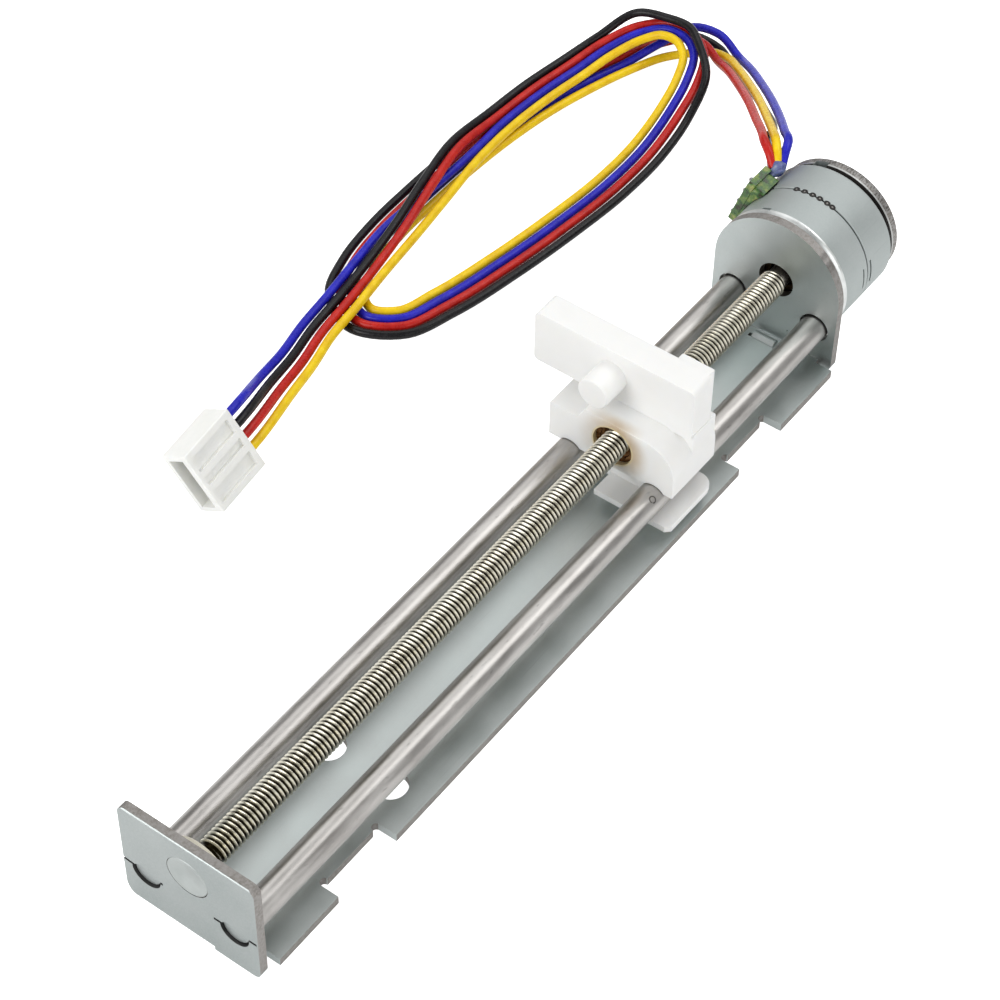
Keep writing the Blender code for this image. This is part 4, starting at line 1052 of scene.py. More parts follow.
def bevel_front_edges(item):
    """Round the front plate's outer edges more than the rest of the sheet."""
    shape = bmesh.new()
    shape.from_mesh(item.data)
    edges = []
    for edge in shape.edges:
        middle = (edge.verts[0].co + edge.verts[1].co) / 2 / MM
        flat = all(abs(vert.co.x / MM - FRONT_X) < 0.01 for vert in edge.verts)
        side = abs(middle.y) > PLATE_HALF_WIDTH - 0.01
        corner = abs(middle.y) > PLATE_HALF_WIDTH - PLATE_FOOT_CORNER
        high = middle.z > PLATE_TOP - PLATE_FOOT_CORNER or middle.z < PLATE_FOOT_CORNER
        convex = edge.is_manifold and edge.calc_face_angle(0.0) > 0.6
        if flat and convex and (side or corner and high):
            edges.append(edge)
    bmesh.ops.bevel(
        shape,
        geom=edges,
        offset=FRONT_EDGE * MM,
        segments=3,
        profile=0.5,
        affect="EDGES",
        clamp_overlap=True,
    )
    shape.to_mesh(item.data)
    shape.free()


def mark_sheared_faces(item, materials):
    """Give punched edges their own material, near-black painted shade to the lanced openings and the
    base's edge bevels, and painted light to the base.
    """
    for material in materials:
        item.data.materials.append(material)
    front = (FRONT_X + SHEET + 0.05) * MM
    motor = (FRONT_X + MOTOR_PLATE_X - 0.05) * MM
    floor = (SHEET + 0.4) * MM
    for face in item.data.polygons:
        upright = face.center.z > floor and (face.center.x < front or face.center.x > motor)
        flat = face.center.z < SHEET * MM and front < face.center.x < motor
        thin = abs(face.normal.x) < 0.25 if upright else abs(face.normal.z) < 0.25
        if (upright or flat) and thin:
            face.material_index = 1
        centre = face.center / MM
        # Painted shade: the walls of the lanced openings and slits get the near-black material.
        level = abs(centre.z - AXIS_HEIGHT + ROD_DROP) < LENS_RADIUS + 0.1
        inside = abs(centre.y) < PLATE_HALF_WIDTH - 0.05 and abs(face.normal.x) < 0.5
        if level and inside and centre.x < FRONT_X + SHEET - 0.05:
            face.material_index = 2
        between = FRONT_X + SHEET + 0.05 < centre.x < FRONT_X + MOTOR_PLATE_X + 0.3
        lip = centre.z > SHEET - SHEET_EDGE - 0.01 and centre.z < SHEET + 0.01
        # Painted shade along the bevels of the base's top edges; faces looking up or towards the
        # front get the lighter base copy as painted light.
        if between and lip and 0.2 < face.normal.z < 0.97:
            face.material_index = 2
        elif between and (face.normal.z > 0.97 or face.normal.x < -0.97):
            face.material_index = 3


def make_frame(sheet, edge, shadow, painted_light):
    mesh = slab("frame_sheet", [frame_section()], -TAB_HALF_WIDTH, TAB_HALF_WIDTH, facing_y())
    item = piece("frame_sheet", mesh, sheet)
    flap_low = at(0, -TAB_HALF_WIDTH, -AXIS_HEIGHT)
    flap_high = at(FLAP_SIZE, FLAP_START, -AXIS_HEIGHT + FLAP_SIZE)
    joined = [
        block("front_flap", flap_low, flap_high),
        slab("bend_tab", [BEND_TAB], *BEND_TAB_ENDS, facing_y()),
    ]
    carve(item, joined, "UNION")
    carve(item, frame_cutters())
    bevel_front_edges(item)
    round_edges(item, SHEET_EDGE, 2, 35.0)
    shade(item, 50.0)
    mark_sheared_faces(item, (edge, shadow, painted_light))
    place(item, "frame", "zinc_steel", "base_frame")


def make_rods(material, end_material):
    for side, sign in SIDES:
        start = ROD_SKIN + 0.04
        end = FRAME_LENGTH - 0.1
        edge = ROD_END_EDGE
        outline = (
            [(start, 0)]
            + arc((start + edge, ROD_RADIUS - edge), edge, 180, 90, 4)
            + [(end - 0.2, ROD_RADIUS), (end, ROD_RADIUS - 0.2), (end, 0)]
        )
        name = "steel_rod_" + side
        item = piece(name, turned(name, outline, 64, sign * ROD_Y, -ROD_DROP), material)
        shade(item, 50.0)
        paint(item, end_material, lambda centre: centre.x < FRONT_X + start + 0.01)
        place(item, "frame", "ground_steel", "guide_rod_" + side)


def make_end_bearing(material, face_material):
    radius = BEARING_RADIUS
    outline = [
        (0.06, 0),
        (0.06, radius - 0.5),
        (0.02, radius - 0.4),
        (0.02, radius - 0.08),
        (0.08, radius),
        (SHEET + 0.05, radius),
        (SHEET + 0.05, BEARING_FLANGE),
        (SHEET + 0.75, BEARING_FLANGE),
        (SHEET + 0.9, BEARING_FLANGE - 0.15),
        (SHEET + 0.9, BEARING_BORE),
        (0.6, BEARING_BORE),
        (0.6, 0),
    ]
    mesh = turned("bearing_disc", outline, 72, BEARING_SHIFT, -BEARING_SHIFT)
    item = piece("bearing_disc", mesh, material)
    shade(item, 30.0)
    paint(item, face_material, lambda centre: centre.x < FRONT_X + 0.15)
    place(item, "frame", "cream_plastic", "end_bearing")


# Screw and nut

def thread(name, x0, x1, root, crest):
    """A right-hand helical ridge whose ends run out into the core."""
    turns = int((x1 - x0) / PITCH)
    count = turns * THREAD_STEPS
    shape = bmesh.new()
    rows = []
    for index in range(count + THREAD_STEPS + 1):
        angle = 2 * math.pi * index / THREAD_STEPS
        run = min(index, count - index) / THREAD_STEPS
        fade = max(0.0, min(1.0, run))
        row = []
        for share, height in THREAD_PROFILE:
            x = x0 + PITCH * (index / THREAD_STEPS + share)
            radius = root - 0.03 * (1 - fade) + (crest - root) * height * fade
            point = at(x, radius * math.cos(angle), radius * math.sin(angle))
            row.append(shape.verts.new(point * MM))
            if index > count:
                break
        rows.append(row)
    for index in range(count):
        here = rows[index] + [rows[index + THREAD_STEPS][0]]
        after = rows[index + 1] + [rows[index + 1 + THREAD_STEPS][0]]
        for low, high, high_next, low_next in zip(here, here[1:], after[1:], after):
            shape.faces.new((low, low_next, high_next, high))
    loose = [vert for vert in shape.verts if not vert.link_faces]
    bmesh.ops.delete(shape, geom=loose, context="VERTS")
    open_edges = [edge for edge in shape.edges if edge.is_boundary]
    bmesh.ops.holes_fill(shape, edges=open_edges, sides=0)
    return mesh_from_shape(name, shape)


def join_meshes(name, meshes):
    shape = bmesh.new()
    for mesh in meshes:
        shape.from_mesh(mesh)
        bpy.data.meshes.remove(mesh)
    return mesh_from_shape(name, shape)


def make_screw(material):
    start, end = SCREW_THREAD
    front, back = SCREW_ENDS
    outline = [
        (front, 0),
        (front, JOURNAL_RADIUS),
        (start, JOURNAL_RADIUS),
        (start + 0.15, SCREW_ROOT),
        (end, SCREW_ROOT),
        (end + 0.05, SHAFT_RADIUS),
        (back, SHAFT_RADIUS),
        (back, 0),
    ]
    core = turned("screw_core", outline, 48)
    ridge = thread("screw_ridge", start + 0.1, end + 0.3, SCREW_ROOT, SCREW_RADIUS)
    item = piece("screw_thread", join_meshes("screw_thread", [core, ridge]), material)
    for face in item.data.polygons:
        face.use_smooth = len(face.vertices) < 5
    item.data.set_sharp_from_angle(angle=math.radians(70))
    place(item, "rotor", "nickel_brass", "lead_screw")


def make_nut(material):
    start = SLIDER_FRONT + NUT_INSET
    end = start + NUT_LENGTH
    mouth = NUT_BORE + 0.06
    outline = [(start, mouth), (start, NUT_RADIUS - 0.15), (start + 0.15, NUT_RADIUS)]
    outline += [(end - 0.15, NUT_RADIUS), (end, NUT_RADIUS - 0.15), (end, mouth)]
    x = end - 0.2
    while x > start + 0.4:
        outline += [(x, NUT_BORE), (x - 0.12, NUT_CREST)]
        outline += [(x - 0.2, NUT_CREST), (x - 0.32, NUT_BORE)]
        x -= PITCH
    outline.append(outline[0])
    item = piece("nut_ring", turned("nut_ring", outline, 72), material)
    shade(item, 30.0)
    place(item, "slider", "brass", "brass_nut")


# Motor

def front_cup_outline():
    x0 = FRAME_LENGTH + 0.03
    x1 = SEAM_X - SEAM_HALF_WIDTH
    edge = CUP_FRONT_EDGE
    bend = arc((x0 + edge, CUP_RADIUS - edge), edge, 180, 90, 8)
    return [(x0, CUP_HOLE)] + bend + [
        (x1 - CUP_LIP, CUP_RADIUS),
        (x1, CUP_RADIUS - CUP_LIP),
        (x1, CUP_INSIDE),
        (x0 + CUP_FLOOR, CUP_INSIDE),
        (x0 + CUP_FLOOR, CUP_HOLE),
        (x0, CUP_HOLE),
    ]


def rear_cup_outline():
    x0 = SEAM_X + SEAM_HALF_WIDTH
    x1 = REAR_CUP_END
    edge = CUP_REAR_EDGE
    bend = arc((x1 - edge, CUP_RADIUS - edge), edge, 90, 0, 7)
    return [(x0, CUP_INSIDE), (x0, CUP_RADIUS - CUP_LIP), (x0 + CUP_LIP, CUP_RADIUS)] + bend + [
        (x1, CUP_HOLE),
        (x1 - CUP_FLOOR, CUP_HOLE),
        (x1 - CUP_FLOOR, CUP_INSIDE),
        (x0, CUP_INSIDE),
    ]


def groove_cutter(name, x, start, end, width):
    """A short groove pressed across the cup's side."""
    outer = arc((0, 0), CUP_RADIUS + 1, start, end, 8)
    inner = arc((0, 0), CUP_RADIUS - GROOVE_DEPTH, end, start, 8)
    return cut_x(name, outer + inner, x - width / 2, x + width / 2)


def make_cups(material, bend_highlight):
    cups = (
        ("cup_shell_front", front_cup_outline(), "motor_cup_front", FRONT_CUP_GROOVES),
        ("cup_shell_rear", rear_cup_outline(), "motor_cup_rear", REAR_CUP_GROOVES),
    )
    bend_end = FRONT_X + FRAME_LENGTH + CUP_FRONT_EDGE
    for name, outline, node, grooves in cups:
        item = piece(name, turned(name, outline, 144), material)
        cutters = [slab("window_" + name, [rectangle(*WINDOW)], *WINDOW_DEPTHS, facing_board())]
        for number, (offset, start, end, width) in enumerate(grooves):
            tool = "groove_" + str(number + 1) + "_" + name
            cutters.append(groove_cutter(tool, SEAM_X + offset, start, end, width))
        carve(item, cutters)
        shade(item, 30.0)
        # Painted highlight: a lighter metal on the cup's rounded front edge.
        paint(item, bend_highlight, lambda centre: centre.x < bend_end)
        place(item, "frame", "zinc_steel", node)


def make_welds(material, pit):
    """A row of dark weld spots along the seam, each a ring round a pit."""
    radius = WELD_RADIUS
    outline = [
        (0, 0.03),
        (radius * 0.3, 0.02),
        (radius * 0.48, 0.0),
        (radius * 0.62, 0.07),
        (radius * 0.85, 0.06),
        (radius, 0.0),
        (radius, -0.2),
        (0, -0.2),
    ]
    for number, degrees in enumerate(WELD_ANGLES):
        angle = math.radians(degrees)
        out = Vector((0, math.cos(angle), math.sin(angle)))
        turn = out.to_track_quat("Z", "X").to_matrix().to_4x4()
        middle = at(SEAM_X) + out * CUP_RADIUS
        spot = Matrix.Translation(middle * MM) @ turn
        name = "weld_spot_" + str(number + 1)
        item = piece(name, turned_up(name, outline, spot, 20), material)
        paint(item, pit, lambda centre: (centre - middle).length < radius * 0.25)
        shade(item, 50.0)
        place(item, "frame", "zinc_steel")


def make_cover(material, rim_material):
    x0 = COVER_START - 0.02
    x1 = COVER_END
    outer = REAR_COVER_RADIUS
    rim = outer - COVER_RIM
    edge = COVER_EDGE
    outline = [(x0, rim), (x0, outer - 0.1), (x0 + 0.1, outer)]
    outline += arc((x1 - edge, outer - edge), edge, 90, 0, 6)
    outline += [(x1, 5.9), (x1 - 0.15, 5.7), (x1 - 0.15, 2.4), (x1, 2.2)]
    outline += [(x1, COVER_HOLE), (x1 - COVER_WALL, COVER_HOLE), (x1 - COVER_WALL, rim), (x0, rim)]
    item = piece("cover_shell", turned("cover_shell", outline, 144), material)
    notch = rectangle(-NOTCH_HALF_WIDTH, rim - 0.5, NOTCH_HALF_WIDTH, outer + CUT)
    matrix = facing_x() @ Matrix.Rotation(math.radians(NOTCH_TURN), 4, "Z")
    carve(item, [slab("cover_notch", [notch], x0 - 0.5, x0 + NOTCH_DEPTH, matrix)])
    shade(item, 30.0)
    rim_start = outer - 0.3
    paint(
        item,
        rim_material,
        lambda centre: math.hypot(centre.y, centre.z - AXIS_HEIGHT) > rim_start,
    )
    place(item, "frame", "zinc_steel", "rear_cover")


# Terminal board

def make_board(material, pad_material, solder_material):
    side = BOARD_WIDTH / 2
    outline = rounded_rectangle(-side, BOARD_FOOT, side, BOARD_LENGTH / 2, 0.4, 6)
    top = BOARD_DISTANCE + BOARD_THICKNESS
    mesh = slab("terminal_laminate", [outline], BOARD_DISTANCE, top, facing_board())
    item = piece("terminal_laminate", mesh, material)
    round_edges(item, 0.06, 2)
    shade(item, 40.0)
    place(item, "frame", "board_green", "terminal_board")
    pad = rectangle(0, 0, PAD_RADIUS, PAD_THICKNESS)
    for number in range(4):
        pin = Vector((0, (number - 1.5) * PIN_PITCH, top))
        spot = facing_board() @ Matrix.Translation(pin * MM)
        name = "solder_pad_" + str(number + 1)
        item = piece(name, turned_up(name, pad, spot, 28), pad_material)
        shade(item, 40.0)
        place(item, "frame", "tin")
        name = "solder_" + str(number + 1)
        item = piece(name, turned_up(name, SOLDER_CONE, spot, 28), solder_material)
        shade(item, 60.0)
        place(item, "frame", "tin", "terminal_pin_" + str(number + 1))


def make_flux(material):
    """Flux and resin run in between the board and the motor."""
    outline = rounded_rectangle(*RESIN, 0.6, 6)
    end = BOARD_DISTANCE - 0.02
    mesh = slab("board_resin", [outline], RESIN_START, end, facing_board())
    item = piece("board_resin", mesh, material)
    hollow = rod("hollow", at(SEAM_X - 4), at(SEAM_X + 4), CUP_RADIUS + 0.08, 96)
    carve(item, [hollow])
    round_edges(item, 0.12, 3)
    for vert in item.data.vertices:
        spot = vert.co / MM
        shift = math.sin(spot.x * 3.1) + math.sin(spot.z * 2.3 + 1.0)
        vert.co.x += 0.08 * MM * shift
    shade(item, 60.0)
    place(item, "frame", "board_green")


def make_glue(material):
    """The lump of glue that holds the wires at the board's corner."""
    shape = bmesh.new()
    bmesh.ops.create_icosphere(shape, subdivisions=4, radius=1.0)
    for vert in shape.verts:
        x, y, z = vert.co
        lump = 1.0 + 0.1 * math.sin(4.1 * x + 1.0) + 0.09 * math.sin(5.3 * y - 2.0 * z)
        lump += 0.06 * math.sin(7.7 * z + 3.0 * x)
        vert.co = vert.co * Vector(GLUE_SIZE) * lump * MM
    turn = Matrix.Rotation(math.radians(GLUE_TURN), 4, "X")
    middle = Matrix.Translation(Vector(GLUE_PLACE) * MM)
    bmesh.ops.transform(shape, matrix=middle @ turn, verts=shape.verts)
    item = piece("wire_glue", mesh_from_shape("wire_glue", shape), material)
    shade(item, 60.0)
    place(item, "frame", "blue_pvc")


# Slider

def block_outline():
    radius = SHOULDER_RADIUS
    shoulder = arc((BLOCK_RIGHT + radius, BODY_TOP - radius), radius, 90, 180, 18)
    left = [
        (BLOCK_LEFT, BLOCK_UNDER),
        (BLOCK_LEFT, WING_TOP),
        (BODY_LEFT + 0.9, WING_TOP),
        (BODY_LEFT, BODY_TOP),
    ]
    return left + shoulder + [(BLOCK_RIGHT, BLOCK_UNDER)]


def foot_outline():
    front = SLIDER_FRONT + FOOT_FRONT
    back = SLIDER_FRONT + FOOT_BACK
    corner = FOOT_CORNER
    return (
        [(front, 1.0), (front, FOOT_SIDE + 0.5), (front + 0.5, FOOT_SIDE)]
        + arc((back - corner, FOOT_SIDE + corner), corner, 270, 360, 14)
        + [(back, 1.0)]
    )


def slider_block(name, x0, x1, y0, y1, z0, z1):
    return block(name, at(SLIDER_FRONT + x0, y0, z0), at(SLIDER_FRONT + x1, y1, z1))


def make_slider(material):
    x0 = SLIDER_FRONT
    x1 = SLIDER_FRONT + SLIDER_LENGTH
    body_mesh = cut_x("slider", block_outline(), x0, x1)
    item = piece("slider_moulding", rounded_mesh(body_mesh, 0.18), material)
    face_end = FACE_X + FACE_THICKNESS
    face_outline = rounded_rectangle(FACE_RIGHT, FACE_BOTTOM, FACE_LEFT, FACE_TOP, FACE_CORNER)
    face = cut_x("face", face_outline, x0 + FACE_X, x0 + face_end)
    foot = slab("foot", [foot_outline()], FOOT_TOP - FOOT_THICKNESS, FOOT_TOP, facing_z())
    stud_start = at(x0 + FACE_X - STUD_LENGTH, STUD_Y, STUD_Z)
    stud_end = at(x0 + FACE_X + 1, STUD_Y, STUD_Z)
    joined = [
        rounded_mesh(slider_block("under", FACE_X + 0.4, 7.28, -7.18, 3.28, 0, 3.12), 0.1, 2),
        rounded_mesh(face, 0.22),
        rounded_mesh(slider_block("rib", face_end - 0.5, 7.16, -6.7, -2.9, 2.5, 9.1), 0.15, 2),
        rounded_mesh(slider_block("web", WEB_FRONT, 6.5, -3.15, 3.15, -6.4, -2.4), 0.1, 2),
        rounded_mesh(foot, 0.15),
        rounded_mesh(rod("stud", stud_start, stud_end, STUD_RADIUS, 64), 0.2),
    ]
    carve(item, joined, "UNION")
    cutters = [
        rod("pocket", at(x0 + NUT_INSET - 0.02), at(x1 + 4), NUT_POCKET_RADIUS, 96),
        rod("pocket_mouth", at(x0 - 4), at(x0 + 1), NUT_LIP_RADIUS, 96),
    ]
    for side, sign in SIDES:
        start = at(x0 - 4, sign * ROD_Y, -ROD_DROP)
        end = at(x1 + 4, sign * ROD_Y, -ROD_DROP)
        cutters.append(rod("groove_" + side, start, end, ROD_RADIUS + ROD_CLEARANCE, 64))
    carve(item, cutters)
    shade(item, 32.0)
    place(item, "slider", "white_acetal", "slider_body")


# Wires

def connector_frame():
    """Unit vectors of the leaning connector: aim, across, up."""
    aim = Vector(CONNECTOR_AIM).normalized()
    tilt = math.radians(CONNECTOR_TILT)
    side = aim.cross(Vector((0, 0, 1))).normalized() * -1
    top = aim.cross(side)
    across = side * math.cos(tilt) - top * math.sin(tilt)
    return aim, across, aim.cross(across)


def connector_centre():
    """The middle of the housing's back, its lowest corner on the ground."""
    aim, across, up = connector_frame()
    drop = abs(across.z) * HOUSING_WIDTH / 2 + abs(up.z) * HOUSING_HEIGHT / 2
    drop += max(-aim.z, 0.0) * HOUSING_LENGTH
    return Vector((*CONNECTOR_BACK, drop + 0.02))


def entry_points(number):
    """A wire's last points, straight into the connector's back."""
    aim, across, up = connector_frame()
    centre = connector_centre()
    offset = across * (number - 1.5) * CONNECTOR_PITCH
    points = []
    for distance in (-1.8, ENTRY_DEPTH - GAP):
        points.append(centre + offset + aim * distance)
    return points


def wire_stations(number):
    """The places one wire passes, beside the bundle's middle line."""
    stations = [Vector(ROOTS[number])]
    for index, (middle, lanes, lifts) in enumerate(ROUTE):
        before = Vector(ROUTE[max(index - 1, 0)][0])
        after = Vector(ROUTE[min(index + 1, len(ROUTE) - 1)][0])
        heading = (after - before).to_2d().normalized()
        left = Vector((-heading.y, heading.x, 0.0))
        lane = lanes[number] * WIRE_PITCH
        lift = Vector((0, 0, lifts[number]))
        stations.append(Vector(middle) + left * lane + lift)
    bow = (stations[0] + stations[1]) / 2 + Vector((0, 0, ROOT_RISE))
    stations.insert(1, bow)
    return stations + entry_points(number)


def slope(before, point, after):
    """The curve's direction at a point, allowing for uneven spacing."""
    first = (point - before).length
    second = (after - point).length
    rise = (point - before) * second / first + (after - point) * first / second
    return rise / (first + second)


def smooth_points(stations, steps):
    """A smooth curve through the stations."""
    padded = [2 * stations[0] - stations[1]] + stations
    padded.append(2 * stations[-1] - stations[-2])
    points = []
    for index in range(1, len(padded) - 2):
        a, b, c, d = padded[index - 1:index + 3]
        length = (c - b).length
        start = slope(a, b, c) * length
        end = slope(b, c, d) * length
        for step in range(steps):
            t = step / steps
            point = b * (2 * t - 3) * t * t + b
            point += c * (3 - 2 * t) * t * t
            point += start * t * (1 - t) * (1 - t)
            point -= end * t * t * (1 - t)
            points.append(point)
    points.append(stations[-1])
    return points


def even_points(points, count, bend_share=6.0):
    """The same curve with fewer points, closer together in the bends."""
    travel = [0.0]
    heading = points[1] - points[0]
    for first, second in zip(points, points[1:]):
        step = second - first
        turn = step.angle(heading, 0.0)
        travel.append(travel[-1] + step.length + turn * bend_share)
        heading = step
    result = []
    index = 0
    for number in range(count):
        target = travel[-1] * number / (count - 1)
        while index < len(points) - 2 and travel[index + 1] < target:
            index += 1
        span = travel[index + 1] - travel[index]
        share = (target - travel[index]) / span
        result.append(points[index].lerp(points[index + 1], share))
    return result


def make_wires(looks):
    for number, colour in enumerate(WIRES):
        points = even_points(smooth_points(wire_stations(number), 24), WIRE_POINTS)
        name = "lead_" + colour
        curve = bpy.data.curves.new(name, "CURVE")
        curve.dimensions = "3D"
        curve.bevel_depth = WIRE_RADIUS * MM
        curve.bevel_resolution = 5
        curve.use_fill_caps = True
        spline = curve.splines.new("POLY")
        spline.points.add(len(points) - 1)
        for spot, point in zip(spline.points, points):
            spot.co = (*(point * MM), 1.0)
            spot.radius = 1.0
        spline.use_smooth = True
        curve.materials.append(looks[colour])
        wire = shown(name, curve)
        place(wire, "frame", colour + "_pvc", "wire_" + colour)


# Connector

def connector_matrix():
    """Local X along the wires' way in, Y across, Z up out of the housing."""
    aim, across, up = connector_frame()
    matrix = Matrix.Translation(connector_centre() * MM)
    for row in range(3):
        matrix[row][0] = aim[row]
        matrix[row][1] = across[row]
        matrix[row][2] = up[row]
    return matrix


def connector_block(name, low, high):
    mesh = block(name, Vector(low), Vector(high))
    mesh.transform(connector_matrix())
    return mesh


def make_connector(housing_material):
    half_width = HOUSING_WIDTH / 2
    half_height = HOUSING_HEIGHT / 2
    low_corner = (0, -half_width, -half_height)
    mesh = connector_block("plug_housing", low_corner, (HOUSING_LENGTH, half_width, half_height))
    item = piece("plug_housing", rounded_mesh(mesh, HOUSING_EDGE), housing_material)
    side = half_width - MOUTH_WALL
    mouth_low = (MOUTH_DEPTH, -side, -MOUTH_HALF_HEIGHT)
    mouth_high = (HOUSING_LENGTH + CUT, side, MOUTH_HALF_HEIGHT)
    cuts = [connector_block("mouth", mouth_low, mouth_high)]
    entry_height = WIRE_RADIUS + ENTRY_GAP
    entry_half = 1.5 * CONNECTOR_PITCH + entry_height
    entry = rounded_rectangle(-entry_half, -entry_height, entry_half, entry_height, 0.6, 6)
    cuts.append(slab("entry", [entry], -CUT, ENTRY_DEPTH, connector_matrix() @ TURN_TO_X))
    edge = half_width - 0.8
    for number, (low, high) in enumerate(((-edge, -1.25), (-0.5, 0.5), (1.25, edge))):
        name = "recess_" + str(number + 1)
        low_corner = (0.8, low, half_height - RECESS_DEPTH)
        high_corner = (HOUSING_LENGTH - 0.5, high, half_height + CUT)
        cuts.append(connector_block(name, low_corner, high_corner))
    for number in range(4):
        y = (number - 1.5) * CONNECTOR_PITCH
        name = "contact_hole_" + str(number + 1)
        half = CONTACT_HOLE
        cuts.append(connector_block(name, (0.7, y - half, -half), (3.3, y + half, half)))
    carve(item, cuts)
    round_edges(item, 0.08, 2)
    shade(item, 40.0)
    place(item, "frame", "white_nylon", "connector_housing")
    return item


# Setting

def make_floor():
    """Pale ground, white to the camera, which keeps its soft shadow."""
    look = Look("pale_floor", (0.80, 0.80, 0.80), 0.0, 0.9)
    path = look.node("LightPath")
    glow = look.node("Emission")
    glow.inputs["Strength"].default_value = 1.0
    mirrored = look.math("MULTIPLY", path.outputs["Is Glossy Ray"], FLOOR_IN_MIRRORS)
    look.link(look.math("MAXIMUM", path.outputs["Is Camera Ray"], mirrored), glow.inputs["Strength"])
    add = look.node("AddShader")
    look.link(look.shader.outputs[0], add.inputs[0])
    look.link(glow.outputs[0], add.inputs[1])
    output = look.tree.nodes["Material Output"]
    look.link(add.outputs[0], output.inputs["Surface"])
    look.set("Specular IOR Level", 0.0)
    look.colour(look.patches(look.noise(60.0), 0.79, 0.81))
    shape = bmesh.new()
    bmesh.ops.create_grid(shape, x_segments=1, y_segments=1, size=FLOOR_SIZE)
    item = piece("floor", mesh_from_shape("floor", shape), look.material)


def make_lamp(name, spot, aim, size, power):
    data = bpy.data.lights.new(name, "AREA")
    data.shape = "RECTANGLE"
    data.size = size[0] * MM
    data.size_y = size[1] * MM
    data.energy = power
    lamp = shown(name, data)
    lamp.location = Vector(spot) * MM
    lamp.rotation_euler = (Vector(aim) - Vector(spot)).to_track_quat("-Z", "Y").to_euler()


def make_lights():
    world = bpy.data.worlds.new("studio")
    world.use_nodes = True
    back = world.node_tree.nodes["Background"]
    back.inputs["Color"].default_value = (1.0, 1.0, 1.0, 1.0)
    back.inputs["Strength"].default_value = WORLD_STRENGTH
    bpy.context.scene.world = world
    for lamp in LAMPS:
        make_lamp(*lamp)


def make_camera():
    data = bpy.data.cameras.new("camera")
    data.sensor_width = 36.0
    data.lens = CAMERA_LENS
    data.clip_start = 0.01
    data.clip_end = 20.0
    camera = shown("camera", data)
    ahead = CAMERA_AIM.normalized()
    level = ahead.cross(Vector((0, 0, 1))).normalized()
    roll = math.radians(CAMERA_ROLL)
    right = level * math.cos(roll) + level.cross(ahead) * math.sin(roll)
    up = right.cross(ahead)
    matrix = Matrix.Translation(CAMERA_PLACE * MM)
    for row in range(3):
        matrix[row][0] = right[row]
        matrix[row][1] = up[row]
        matrix[row][2] = -ahead[row]
    camera.matrix_world = matrix
    bpy.context.scene.camera = camera


def dress_nodes(looks):
    """Materials for the solids that are shown as they are."""
    for names, look in looks:
        for name in names:
            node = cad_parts[name]
            node.data.materials.clear()
            node.data.materials.append(look)


bpy.context.scene.view_settings.view_transform = "Standard"
make_camera()
make_lights()
make_floor()

SHEET_LOOK = zinc_sheet()
# The sheet again, 1.45 times lighter, as painted light on the base's upward and front-facing faces.
BASE_PAINTED_LIGHT_LOOK = zinc_sheet("zinc_plated_base_painted_light", 0.4, 0.52, 1.45)
CUP_LOOK = zinc_sheet("zinc_plated_cup", 0.54, 0.68, 1.2)
# Painted highlight for the front cup's rounded edge.
CUP_BEND_HIGHLIGHT_LOOK = metal("painted_highlight_bend", (0.60, 0.62, 0.61), (0.80, 0.82, 0.81), 0.4, 1.5)
EDGE_LOOK = sheared_edge()
ROD_LOOK = ground_steel()
BRASS_LOOK = turned_brass()
TIN_LOOK = metal("tinned_contact", (0.42, 0.42, 0.40), (0.66, 0.66, 0.63))
SOLDER_LOOK = metal("solder", (0.50, 0.51, 0.52), (0.72, 0.73, 0.74), 0.22)
COPPER_LOOK = metal("enamelled_copper", (0.36, 0.14, 0.05), (0.58, 0.26, 0.10), 0.35, 0.3)
BRONZE_LOOK = metal("oiled_bronze", (0.035, 0.022, 0.012), (0.10, 0.065, 0.035), 0.5, 0.3)
SPRING_LOOK = metal("rolled_spring", (0.36, 0.36, 0.36), (0.52, 0.52, 0.51))
WELD_LOOK = plain_moulding("burnt_weld", (0.008, 0.007, 0.006), (0.025, 0.022, 0.02), 0.6).material
BOARD_LOOK = board_look()
PAD_LOOK = metal("gilded_pad", (0.46, 0.38, 0.18), (0.66, 0.58, 0.32), 0.3, 0.5)
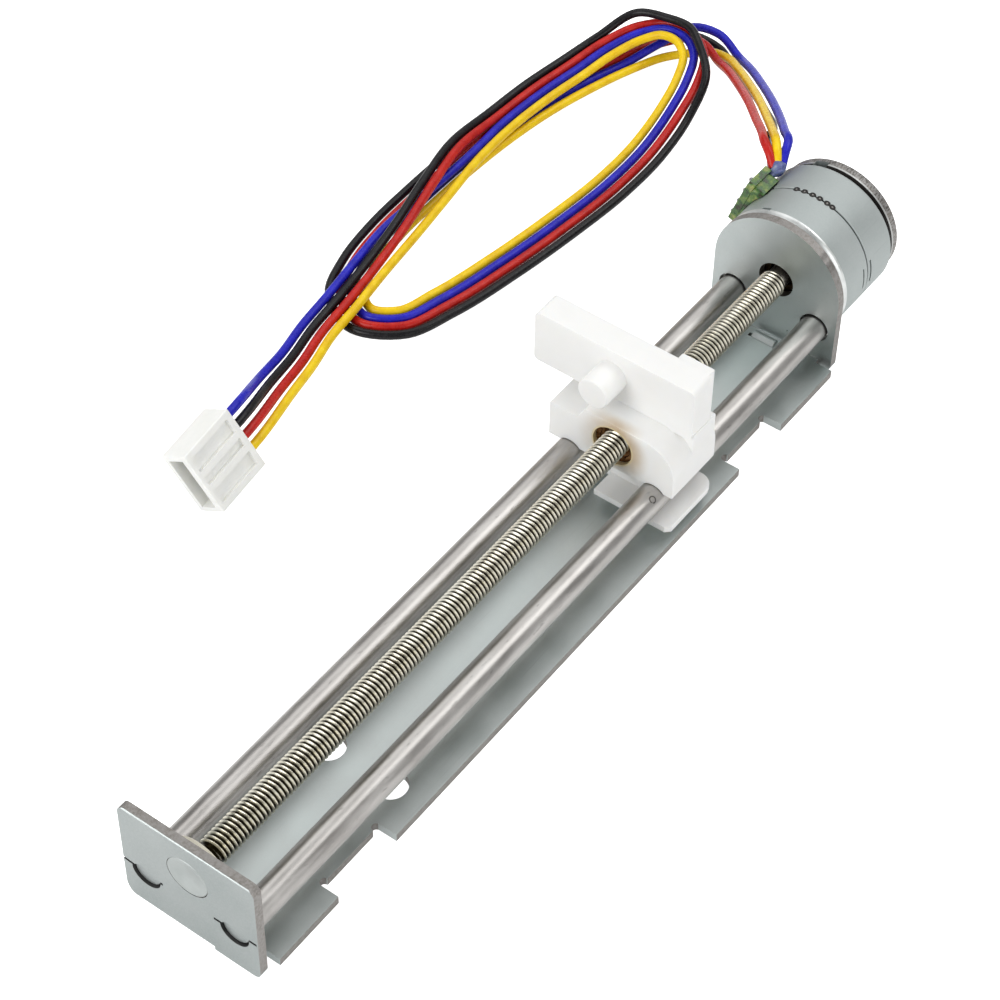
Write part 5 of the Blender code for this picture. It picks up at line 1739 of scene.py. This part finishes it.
CREAM_LOOK = plain_moulding("cream_moulding", (0.66, 0.62, 0.50), (0.76, 0.72, 0.60)).material
# A near-black moulding for the rotor hub, also put into the frame's openings and edge bevels as
# painted shade.
DARK_AND_SHADE_LOOK = plain_moulding("dark_moulding_and_painted_shade", (0.02, 0.02, 0.02), (0.045, 0.045, 0.045), 0.5).material
FERRITE_LOOK = plain_moulding("ferrite", (0.045, 0.045, 0.05), (0.08, 0.08, 0.085), 0.55).material
WIRE_LOOKS = {
    "blue": insulation("blue_insulation", (0.008, 0.008, 0.36), (0.02, 0.02, 0.55)),
    "black": insulation("black_insulation", (0.003, 0.003, 0.004), (0.010, 0.009, 0.011)),
    "red": insulation("red_insulation", (0.42, 0.008, 0.006), (0.60, 0.02, 0.012)),
    "yellow": insulation("yellow_insulation", (0.80, 0.50, 0.004), (0.95, 0.68, 0.01)),
}

make_frame(SHEET_LOOK, EDGE_LOOK, DARK_AND_SHADE_LOOK, BASE_PAINTED_LIGHT_LOOK)
make_rods(ROD_LOOK, SHEET_LOOK)
make_end_bearing(CREAM_LOOK, bearing_face())
make_screw(screw_metal())
make_nut(BRASS_LOOK)
make_cups(CUP_LOOK, CUP_BEND_HIGHLIGHT_LOOK)
make_welds(WELD_LOOK, EDGE_LOOK)
make_cover(CUP_LOOK, cover_rim())
make_board(BOARD_LOOK, PAD_LOOK, SOLDER_LOOK)
make_flux(BOARD_LOOK)
make_glue(glue())
make_slider(white_acetal())
HOUSING = make_connector(nylon())
make_wires(WIRE_LOOKS)
dress_nodes(
    (
        (["rotor_hub"], DARK_AND_SHADE_LOOK),
        (["rotor_magnet"], FERRITE_LOOK),
        (["pole_plate_front", "pole_plate_rear"], SHEET_LOOK),
        (["bobbin_front", "bobbin_rear"], CREAM_LOOK),
        (["terminal_block"], BOARD_LOOK),
        (["coil_front", "coil_rear"], COPPER_LOOK),
        (["front_bush", "rear_bush"], BRONZE_LOOK),
        (["thrust_spring"], SPRING_LOOK),
        (["connector_contact_" + str(number + 1) for number in range(4)], TIN_LOOK),
    )
)
